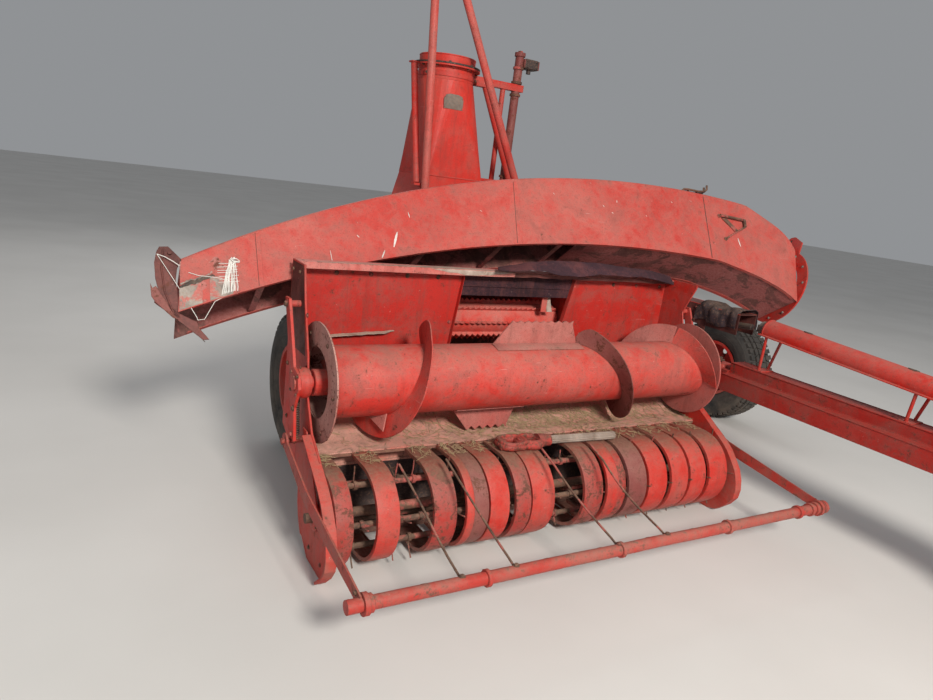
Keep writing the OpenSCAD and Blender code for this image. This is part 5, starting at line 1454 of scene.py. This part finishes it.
# ---------------------------------------------------------------- feed rolls
def feed_rolls():
    for node, y, z, R, body in (("upper_feed_roll", 470, 860, 110, "upper_roll"), ("lower_feed_roll", 440, 600, 100, "lower_roll")):
        b = Mesh()
        x0, x1 = -306, 406
        b.rev([(x0 - 2, 20), (x0 - 2, R - 26), (x1 + 2, R - 26), (x1 + 2, 20)], (0, y, z), (1, 0, 0), 48)
        b.tube([(-354, y, z), (454, y, z)], 19.5, 24)
        for k in range(8):
            a = math.radians(k * 45)
            ey, ez = math.cos(a), math.sin(a)
            ty, tz = -ez, ey
            n = 44
            out = []
            for i in range(n + 1):
                r = R - 0.8 if i % 2 else R - 15
                out.append((x0 + (x1 - x0) * i / n, r))
            pts = [(x0, R - 29)] + out + [(x1, R - 29)]
            q = [(x, y + ey * r - ty * 4, z + ez * r - tz * 4) for x, r in pts]
            # one strip per tooth keeps the faces simple
            for i in range(n):
                xa, ra = out[i]
                xb, rb = out[i + 1]
                b.plate([(xa, y + ey * (R - 29) - ty * 4, z + ez * (R - 29) - tz * 4), (xb, y + ey * (R - 29) - ty * 4, z + ez * (R - 29) - tz * 4),
                         (xb, y + ey * rb - ty * 4, z + ez * rb - tz * 4), (xa, y + ey * ra - ty * 4, z + ez * ra - tz * 4)], (0, ty * 8, tz * 8))
        b.make(node + "_toothed", [M_ROLL], body, "red_paint", (node,), sharp=30, weld=True)


# ---------------------------------------------------------------- wheels
def wheels():
    for side, xc, body in (("left", -775, "wheel_left"), ("right", 2520, "wheel_right")):
        b = Mesh()
        prof = [(-90, 201), (-93, 209.5), (-104, 222), (-114, 238), (-118, 246), (-121, 262), (-122.5, 264), (-124, 268), (-127, 295), (-126, 318), (-122, 330), (-118, 336), (-112, 350), (-97, 362), (-70, 366), (-30, 368)]
        full = prof + [(-d, r) for d, r in reversed(prof)]
        b.rev(full + [(88, 196), (-88, 196)], (xc, 930, 385), (1, 0, 0), 96)
        # tread: three straight ribs with sipes, and shoulder blocks
        n = 48
        for i in range(n):
            a0 = 2 * math.pi * i / n

            def blk(x0, x1, r1, f0, f1, skew=0.0, r0=364.0, xs=0.0):
                vs = []
                for (x, sk) in ((x0, 0.0), (x1, skew)):
                    for r in (r0, r1):
                        for f in (f0, f1):
                            q = a0 + (f + sk) * 2 * math.pi / n
                            rr = r
                            vs.append((xc + x, 930 + rr * math.cos(q), 385 + rr * math.sin(q)))
                b._add(vs, [(0, 1, 3, 2), (4, 6, 7, 5), (2, 3, 7, 6), (0, 4, 5, 1), (0, 2, 6, 4), (1, 5, 7, 3)])
            for x0, x1 in ((-26, 26),):
                blk(x0, x1, 384.6, 0.06, 0.94, 0.25)
            for s in (-1, 1):
                blk(s * 38, s * 66, 383.0, 0.02, 0.80, 0.2)
                blk(s * 76, s * 108, 373.5, 0.12, 0.78, -0.1, r0=352.0)
        # sidewall ribs
        for s in (-1, 1):
            for rr in (262, 274, 330):
                xx = {262: 121.5, 274: 124.6, 330: 122.4}[rr]
                b.tube([(xc + s * xx, 930 + rr * math.cos(q), 385 + rr * math.sin(q)) for q in [2 * math.pi * i / 64 for i in range(65)]], 1.8, 5, caps=False)
        b.make("tyre_tread_" + side, [MATS["tyre_rubber"]], body, "tyre_rubber", ("tyre_" + side,), sharp=35)
        h = Mesh()
        so = -1 if side == "left" else 1
        for s in (-1, 1):
            xf = xc + so * 10 + s * 6
            for k in range(6):
                a = math.radians(30 + 60 * k)
                h.disc_hex((xf, 930 + 92 * math.cos(a), 385 + 92 * math.sin(a)), (s, 0, 0), 11, 11)
        # hub cap on the outside, and a short stem near the rim
        h.rev([(so * 56, 31), (so * 56, 44), (so * 74, 42), (so * 80, 34), (so * 80, 31)], (xc, 930, 385), (1, 0, 0), 32)
        h.cyl((xc + so * 30, 930 + 186, 385), (so, -0.2, 0), 4, 34, 10)
        h.make("wheel_fittings_" + side, [MATS["rusty_steel"]], body, "rusty_steel")


# ---------------------------------------------------------------- drawbar and shaft
def drawbar():
    b = Mesh()
    k = Mesh()
    x0, x1 = 1372, 1552
    # flange strips, splice plates and gussets on the beam
    for y in (-2250, -2180):
        k.disc_hex((x0 - 0.2, y, 612), (-1, 0, 0), 9, 7)
    b.box((x0 - 6, -2328, 566), (x0, -2110, 649))
    for y in (-2060, -1800):
        b.box((x0 - 12, y - 6, 566), (x0, y + 6, 649))
    b.tube([(x0 + 71, -2328, 656), (x0 + 71, 18, 656)], 3.5, 6)
    b.tube([(x0, -2328, 654), (x0, 18, 654)], 3.2, 8)
    # rolled edge on the ridge
    b.tube([(1442, -2329, 716), (1442, 19, 716)], 3.6, 8)
    b.tube([(1551, -2329, 716), (1551, 19, 716)], 3.6, 8)
    # tie plates from the beam to the pivot, and the pivot's washers
    b.plate([(1420, 20, 660), (1504, 20, 660), (1504, 112, 660), (1420, 112, 660)], (0, 0, 7))
    b.make("drawbar_trim", [M_BAR], "drawbar", "red_paint", sharp=35)
    for z in (702, 530):
        s = 1 if z > 600 else -1
        k.disc_hex((1462, 130, z), (0, 0, s), 26, 14 if s > 0 else 2)
    for y in (-2400, -2370):
        k.disc_hex((1462, y, 620), (0, 0, 1), 8, 6)
    k.make("drawbar_bolts", [MATS["rusty_steel"]], "drawbar", "rusty_steel")
    # guard: beads at its ends and dark slots along its back
    gs = math.atan2(128, 2030)
    A = Vector((1500, -2160, 817))
    D = Vector((0, math.cos(gs), math.sin(gs)))
    N = Vector((0, -math.sin(gs), math.cos(gs)))
    g = Mesh()
    d = Mesh()
    L = math.dist((0, -130, 945), (0, -2160, 817))
    for f in (0.004, 0.5, 0.996):
        c = A + D * (L * f)
        pts = []
        for i in range(25):
            a = math.radians(-18 + 216 * i / 24)
            pts.append(c + Vector((62.4 * math.cos(a), 0, 0)) + N * (62.4 * math.sin(a)))
        g.tube(pts, 3.2, 8)
    for t in (180, 420, 980, 1240, 1800):
        c = A + D * t
        pts = []
        for i in range(17):
            a = math.pi * 2 * i / 16
            q = 62.8
            th = 0.16 * math.cos(a)
            pts.append(c + D * (26 * math.sin(a)) + Vector((q * math.sin(th), 0, 0)) + N * (q * math.cos(th)))
        d.tube(pts, 2.4, 6)
        inner = [c + D * (24 * math.sin(2 * math.pi * i / 16)) + Vector((62.5 * math.sin(0.145 * math.cos(2 * math.pi * i / 16)), 0, 0)) + N * (62.7 * math.cos(0.145 * math.cos(2 * math.pi * i / 16))) for i in range(16)]
        d.plate([tuple(p) for p in inner], tuple(N * 0.6))
    g.make("guard_beads", [MATS["red_paint"]], "drawbar", "red_paint")
    d.make("guard_slots", [MATS["dark_iron"]], "drawbar", "dark_iron")
    # universal joints at both ends of the shaft
    u = Mesh()
    for t, s in ((-30, 1), (L + 30, 1)):
        c = A + D * t
        for sx in (-1, 1):
            u.plate([tuple(c + Vector((sx * 26 - 7, 0, 0)) + N * (-20) + D * (-24)), tuple(c + Vector((sx * 26 - 7, 0, 0)) + N * 20 + D * (-24)),
                     tuple(c + Vector((sx * 26 - 7, 0, 0)) + N * 20 + D * 22), tuple(c + Vector((sx * 26 - 7, 0, 0)) + N * (-20) + D * 22)], (14, 0, 0))
    u.make("shaft_joints", [MATS["dark_iron"]], "pto_shaft", "dark_iron")
    # jack: ratchet box, pins, handle grip
    j = Mesh()
    for y in (-1930,):
        j.disc_hex((1295.5, y, 605), (-1, 0, 0), 13, 9)
        j.disc_hex((1295.5, y - 18, 300), (-1, 0, 0), 8, 6)
        j.rev([(0, 10.5), (0, 16), (26, 16), (26, 10.5)], (1326, y, 656), (0, 0, 1), 20)
        for z in (190, 240, 290, 340, 390, 440):
            j.rev([(0, 3), (0, 9), (1.0, 8), (1.0, 3)], (1296, y, z), (-1, 0, 0), 16)
        j.tube([(1326, y - 108, 701), (1326, y - 108, 724)], 9, 14)
        for sx in (-1, 1):
            j.plate([(1326 + sx * 30, y - 4, 10), (1326 + sx * 60, y - 4, 10), (1326 + sx * 30, y - 4, 70)] if sx < 0 else [(1356, y - 4, 12), (1360, y - 4, 12), (1356, y - 4, 60)], (0, 8, 0))
    j.make("jack_fittings", [MATS["rusty_steel"]], "parking_jack", "rusty_steel")


# ---------------------------------------------------------------- tower and frame
def tower():
    k = Mesh()
    b = Mesh()
    for i in range(12):
        a = math.radians(15 + 30 * i)
        k.disc_hex((25 + 180 * math.cos(a), 1275 + 180 * math.sin(a), 2150 - 0.2), (0, 0, -1), 6.5, 5)
    # clamp band round the collar, with its lugs
    b.rev([(0, 163.4), (0, 167), (26, 167), (26, 163.4)], (25, 1275, 2096), (0, 0, 1), 72)
    for a in (200, 340):
        q = math.radians(a)
        c = Vector((25 + 168 * math.cos(q), 1275 + 168 * math.sin(q), 2109))
        b.box(tuple(c - Vector((9, 9, 13))), tuple(c + Vector((9, 9, 13))), 2)
        k.disc_hex(tuple(c + Vector((0, -9.2, 0))), (0, -1, 0), 7, 6)
    # seams along the tower's corners
    for x, y in ((-120, 1085), (235, 1085), (235, 1475), (-120, 1475)):
        sx = 1 if x > 0 else -1
        sy = 1 if y > 1275 else -1
        top = (25 + 163 * 0.7 * sx, 1275 + 163 * 0.7 * sy, 2078)
        b.tube([(x, y, 1552), top], 2.0, 6)
    b.tube([(-119, 1086, 1550), (234, 1086, 1550), (234, 1474, 1550), (-119, 1474, 1550), (-119, 1086, 1550)], 4.5, 6)
    # strip along the door panel on the tower's back
    b.box((-70, 1463, 1580), (180, 1478, 1592))
    # blank plate on the front, held by rivets
    b.make("tower_trim", [MATS["red_paint"]], "chassis", "red_paint")
    f = Mesh()
    # front face slope: from y 1085 at z 1550 to y 1112 at z 2079
    zc = 1968
    yf = 1085 + (1112 - 1085) * (zc - 1550) / 529 - 1.4
    pl = [(-56, yf, zc - 44), (64, yf, zc - 44), (66, yf + 1.4, zc + 10), (56, yf + 2.6, zc + 30), (32, yf + 2.8, zc + 37), (-22, yf + 2.8, zc + 37), (-46, yf + 2.6, zc + 30), (-58, yf + 1.4, zc + 10)]
    f.plate(pl, (0, -2.2, 0))
    f.make("tower_blank_plate", [M_PLATE], "chassis", "bright_steel")
    for x, z in ((-50, -37), (58, -37), (-52, 16), (60, 16)):
        k.disc_hex((x, yf - 1.4 + (z + 42) * 0.05, zc + z), (0, -1, 0), 3.2, 2.2, seg=8, washer=False)
    # derrick: flattened and bolted ends, eye's reinforcing ring
    for p in ((-200, 1000), (-110, 1000), (-200, 1040), (-110, 1040)):
        k.disc_hex((p[0] + 12, p[1], 1106), (0, 0, 1), 8, 7)
    for p in ((855, 1000), (930, 1000), (855, 1050), (930, 1050)):
        k.disc_hex((p[0], p[1], 700), (0, 0, 1), 8, 7)
    k.rev([(-4, 17.5), (-4, 27), (24, 27), (24, 17.5)], (-240, 1020, 2925), (0, 1, 0), 32)
    k.disc_hex((-222, 1019, 2878), (0, -1, 0), 11, 8)
    k.disc_hex((-255, 1019, 2872), (0, -1, 0), 11, 8)
    # turning post: collars, set bolts and worm box
    for z in (1590, 2080, 2152, 2236):
        k.rev([(0, 26.4), (0, 33), (14, 33), (14, 26.4)], (510, 1270, z), (0, 0, 1), 28)
    k.disc_hex((510, 1270, 2332), (0, 0, 1), 16, 9)
    k.make("tower_bolts", [MATS["rusty_steel"]], "chassis", "rusty_steel")
    w = Mesh()
    w.box((536, 1236, 2246), (634, 1304, 2304), 5)
    for x in (552, 618):
        for z in (2258, 2292):
            w.disc_hex((x, 1236, z), (0, -1, 0), 5, 4)
    w.tube([(585, 1270, 2246), (585, 1270, 2222)], 14, 16)
    w.make("turning_worm_box", [MATS["dark_iron"]], "chassis", "dark_iron")


# ---------------------------------------------------------------- rear: housing, covers, gearbox
def rear():
    b = Mesh()
    k = Mesh()
    # hoops and ribs round the drum's housing
    for x in (-318, -80, 180, 418):
        pts = []
        for i in range(33):
            a = math.radians(118 - i * 9.0)
            if a < math.radians(-128):
                break
            if math.radians(-2) < a < math.radians(66):
                continue
            pts.append((x, 950 + 303 * math.cos(a), 800 + 303 * math.sin(a)))
        up = [p for p in pts if p[2] > 1060 and p[1] < 1060]
        dn = [p for p in pts if p[2] < 800]
        if len(up) > 1:
            b.tube(up, 5, 6)
        if len(dn) > 1:
            b.tube(dn, 5, 6)
        b.box((x - 4, 1250, 806), (x + 4, 1257, 1126))
    # door over the drum at the rear, with hinges and a handle
    b.box((-250, 1250, 900), (350, 1256, 1085), 2)
    for x in (-200, 50, 300):
        k.tube([(x - 22, 1259, 1090), (x + 22, 1259, 1090)], 8, 14)
        k.disc_hex((x, 1256, 925), (0, 1, 0), 9, 8)
    k.tube([(20, 1256, 960), (20, 1278, 966), (80, 1278, 966), (80, 1256, 960)], 6, 10)
    # flange between housing and tower, bolted
    b.box((-328, 1054, 1124), (428, 1058, 1140))
    b.box((-328, 1250, 1124), (428, 1255, 1140))
    for x in range(-310, 420, 90):
        k.disc_hex((x, 1255, 1132), (0, 1, 0), 6.5, 5)
        k.disc_hex((x, 1054, 1132), (0, -1, 0), 6.5, 5)
    # drive covers: bolts and pressed ring
    for x, s, c1, r1, c2, r2 in ((602, 1, (950, 810), 190, (1210, 970), 110), (-550, -1, (950, 800), 170, (1140, 650), 90)):
        for (c, r) in ((c1, r1), (c2, r2)):
            for i in range(7):
                a = math.radians(51.4 * i + 10)
                y, z = c[0] + (r - 22) * math.cos(a), c[1] + (r - 22) * math.sin(a)
                k.disc_hex((x, y, z), (s, 0, 0), 6, 5)
            b.rev([(0, r * 0.52), (s * 4, r * 0.55), (s * 4, r * 0.62), (0, r * 0.65)], (x, c[0], c[1]), (1, 0, 0), 48)
    # gearbox: lids, ribs, plug and bolts
    g = Mesh()
    g.box((1412, 766, 736), (1588, 771, 914), 2)
    g.box((1412, 989, 736), (1588, 994, 914), 2)
    g.box((1420, 790, 929), (1580, 970, 935), 2)
    for x in (1410, 1500, 1590):
        g.box((x - 4, 772, 722), (x + 4, 988, 727))
    for z in (760, 820, 880):
        g.box((1599, 790, z), (1604, 970, z + 8))
    g.make("gearbox_lids", [MATS["dark_iron"]], "chassis", "dark_iron")
    for x in (1424, 1500, 1576):
        for z in (748, 902):
            k.disc_hex((x, 994, z), (0, 1, 0), 6.5, 5)
            if abs(x - 1500) > 10:
                k.disc_hex((x, 766, z), (0, -1, 0), 6.5, 5)
    k.disc_hex((1500, 880, 935), (0, 0, 1), 12, 10)
    for i in range(6):
        a = math.radians(60 * i)
        k.disc_hex((1500 + 56 * math.cos(a), 719.8, 850 + 56 * math.sin(a)), (0, -1, 0), 6, 5)
    # beams: gussets, weld beads, bolts
    for x in (1402, 1518):
        b.tube([(x, 180, 689), (x, 979, 689)], 3.4, 6)
        b.tube([(x, 180, 561), (x, 979, 561)], 3.4, 6)
    for x in (450, 800, 1150):
        b.plate([(x, 740, 441), (x, 740, 548), (x, 800, 441)], (7, 0, 0))
    for x in (-560, -500, 700, 1180, 1700, 2200):
        k.disc_hex((x, 879.8, 385), (0, -1, 0), 9, 8)
        k.disc_hex((x, 980.2, 385), (0, 1, 0), 9, 8)
    for x in (-634, 2366):
        b.box((x - (4 if x > 0 else 0), 872, 327), (x + (0 if x > 0 else 4), 988, 443), 0)
    # hitch for a wagon: pin with its chain
    k.tube([(50, 1720, 330), (50, 1720, 446)], 14.5, 20)
    k.rev([(0, 1), (0, 24), (8, 24), (8, 1)], (50, 1720, 446), (0, 0, 1), 24)
    k.tube([(26, 1720, 462), (38, 1720, 484), (62, 1720, 484), (74, 1720, 462), (62, 1720, 452)], 4, 8)
    # shield over the intermediate shaft
    for y in (60, 340, 600):
        for s in (-1, 1):
            k.disc_hex((1500 + s * 75, y, 975), (s, 0, 0), 6, 5)
    b.tube([(1427, 21, 999), (1427, 619, 999)], 3, 6)
    b.tube([(1573, 21, 999), (1573, 619, 999)], 3, 6)
    # feeder: edge beads, bolts and a bar over the rolls
    b.make("rear_trim", [MATS["red_paint"]], "chassis", "red_paint")
    k.make("rear_bolts", [MATS["rusty_steel"]], "chassis", "rusty_steel")
    f = Mesh()
    q = Mesh()
    for x in (-342, 442):
        s = -1 if x < 0 else 1
        f.tube([(x, 310, 1028), (x, 640, 1028), (x, 966, 878)], 4, 6)
        f.tube([(x, 310, 432), (x, 450, 432), (x, 640, 592), (x, 966, 724)], 4, 6)
        for y, z in ((340, 1000), (480, 1000), (600, 1000), (340, 470), (420, 470)):
            q.disc_hex((x, y, z), (s, 0, 0), 7, 6)
        for (y, z) in ((470, 860), (440, 600)):
            f.rev([(0, 21.5), (0, 46), (s * 14, 44), (s * 14, 21.5)], (x, y, z), (1, 0, 0), 32)
            for i in range(3):
                a = math.radians(30 + 120 * i)
                q.disc_hex((x + s * 14, y + 36 * math.cos(a), z + 36 * math.sin(a)), (s, 0, 0), 5, 4)
    # near-black sheet that closes the feeder above the rolls: painted shade of the feed opening
    cl = Mesh()
    cl.grid(lambda sv, tv: (-282 + 686 * sv, 304.6 - 0.8 * abs(nz(sv * 770, tv * 110, 0, 1 / 90.0)), 1013 + 98 * tv), 30, 6, 2.6)
    cl.box((-262, 298.6, 1111), (402, 300.6, 1139))
    cl.tube([(-276, 300.2, 1060), (384, 300.2, 1060)], 3.0, 6)
    cl.mi = 1
    cl.box((252, 336, 926), (286, 344, 1023), 2)
    cl.mi = 2
    cl.plate([(284, 338, 1023), (300, 338, 1023), (309, 338, 980), (327, 338, 929), (292, 338, 929), (284, 338, 960)], (0, 2, 0))
    cl.plate([(206, 301, 1126), (300, 301, 1130), (315, 301, 1127), (314, 301, 1122), (207, 301, 1118)], (0, -2.2, 0))
    cl.make("feeder_front_sheet", [M_SHADE_SHEET, M_ROLL, M_TORN], "header", "red_paint", sharp=40)
    # float spring of the upper roll on the trailing side
    coil(q, (-362, 500, 900), (-362, 560, 1010), 14, 3, 12)
    f.make("feeder_trim", [MATS["red_paint"]], "header", "red_paint")
    q.make("feeder_bolts", [MATS["rusty_steel"]], "header", "rusty_steel")


def flap_and_ring():
    # deflector at the thin end: the near cheek with its torn lobe, and what is left of the bent plate
    fl = Mesh()
    NT = [q * 4 for q in SN]
    fl.plate([SP(u, w, 12) for u, w in ((-1626, -137), (-1593, -134), (-1545, -186), (-1560, -227), (-1566, -279), (-1560, -330), (-1556, -400), (-1551, -438), (-1580, -431), (-1612, -386), (-1629, -324), (-1640, -274), (-1644, -206), (-1637, -162))], NT)
    fl.plate([SP(u, w, 12) for u, w in ((-1640, -372), (-1612, -366), (-1558, -417), (-1489, -453), (-1482, -478), (-1446, -524), (-1468, -526), (-1565, -442))], NT)

    def bent(sv, tv):
        # from the cheek's outer edge inwards, with a ragged far edge
        e = _resample([[-1634, -150], [-1642, -206], [-1638, -274], [-1627, -324], [-1644, -376], [-1565, -436], [-1470, -522]], 36)
        u, w = e[int(round(sv * 36))]
        n = 16 + (62 + 26 * nz(u, w, 0, 1 / 45.0)) * tv
        return SP(u + 16 * tv + 2.5 * nz(u, n, 1, 1 / 40.0), w + 14 * tv, n)
    fl.grid(bent, 36, 6, 2.5)
    fl.tube([SP(-1588, -165, 2), SP(-1588, -165, 70)], 8, 14)
    # stiffening rib on the cheek, and a strip plate along its edge
    fl.tube([SP(-1612, -150, 10), SP(-1618, -230, 10), SP(-1606, -330, 10), SP(-1572, -425, 10)], 3.5, 8)
    fl.mi = 1
    fl.plate([SP(u, w, 9) for u, w in ((-1658, -296), (-1650, -317), (-1637, -308), (-1622, -336), (-1604, -365), (-1580, -414), (-1558, -445), (-1576, -439), (-1640, -375), (-1654, -351))], [q * 3 for q in SN])
    fl.make("deflector_sheets", [M_DARK, M_WORN_AND_SHADE], "spout_flap", "rusty_steel", ("spout_flap",), sharp=40)
    # perished cover crumpled over the shaft shield; its near-black colour is painted shade under the spout
    cv = Mesh()

    def cover(sv, tv):
        y = 24 + 300 * sv
        a = math.radians(200 - 220 * tv)
        c_, s_ = math.cos(a), math.sin(a)
        e = 3.2
        bx = 92 * math.copysign(abs(c_) ** (2 / e), c_)
        bz = 74 * math.copysign(abs(s_) ** (2 / e), s_)
        k = 1 + 0.16 * nz(y, a * 70, 0, 1 / 60.0) + 0.06 * nz(y, a * 70, 5, 1 / 24.0)
        return (1500 + bx * k, y + 10 * nz(a * 60, 0, 0, 1 / 30.0), 945 + bz * k + 8 * math.sin(y / 34.0))
    cv.grid(cover, 44, 30, 2.5)
    cv.make("shield_cover", [M_SHADE_RAG], "chassis", "red_paint", sharp=60)
    # the shaft shield turned to the dark sheet: painted shade under the spout
    for nme in ("input_shaft_shield",):
        for ms in NODES[nme].material_slots:
            ms.material = M_DARK
    for ms in NODES["drawbar_beam"].material_slots:
        ms.material = M_BAR
    # the turning post in the darker sheet: painted shade on the post
    for ms in NODES["spout_turning_post"].material_slots:
        ms.material = M_WORN_AND_SHADE
    for nme in ("discharge_tower", "tower_collar"):
        for ms in NODES[nme].material_slots:
            ms.material = M_TOWER
    b = Mesh()
    b.rev([(10, 155.5), (10, 162.6), (55.6, 162.6), (56, 158), (56, 155.5)], (25, 1275, 2159), (0, 0, 1), 96)
    b.rev([(49, 162.4), (49, 164.6), (53, 164.6), (53, 162.4)], (25, 1275, 2159), (0, 0, 1), 96)
    b.mi = 1
    b.rev([(0.3, 155.5), (0.3, 193.6), (9.6, 193.6), (10, 190), (10, 155.5)], (25, 1275, 2159), (0, 0, 1), 96)
    # worm teeth round the turning ring
    for i in range(120):
        a = 2 * math.pi * i / 120
        if i % 2:
            continue
        e = (math.cos(a), math.sin(a))
        t = (-math.sin(a), math.cos(a))
        q = [(25 + e[0] * r - t[0] * w, 1275 + e[1] * r - t[1] * w, 2160.5) for r, w in ((187, 3.5), (193.9, 2.2))] + [(25 + e[0] * r + t[0] * w, 1275 + e[1] * r + t[1] * w, 2160.5) for r, w in ((193.9, 2.2), (187, 3.5))]
        b.plate(q, (0, 0, 7))
    for i in range(8):
        a = math.radians(22.5 + 45 * i)
        if i in (2, 5, 6):
            b.disc_hex((25 + 180 * math.cos(a), 1275 + 180 * math.sin(a), 2169), (0, 0, 1), 7.5, 6)
    b.make("turning_ring_parts", [M_TOWER, MATS["dark_iron"]], "turntable", "red_paint", ("turntable_ring",), sharp=35)


spout()
spout_fittings()
header_wall()
auger()
bands()
reel()
pan()
header_ends()
yoke()
wind_guard()
feed_rolls()
wheels()
drawbar()
tower()
rear()
flap_and_ring()
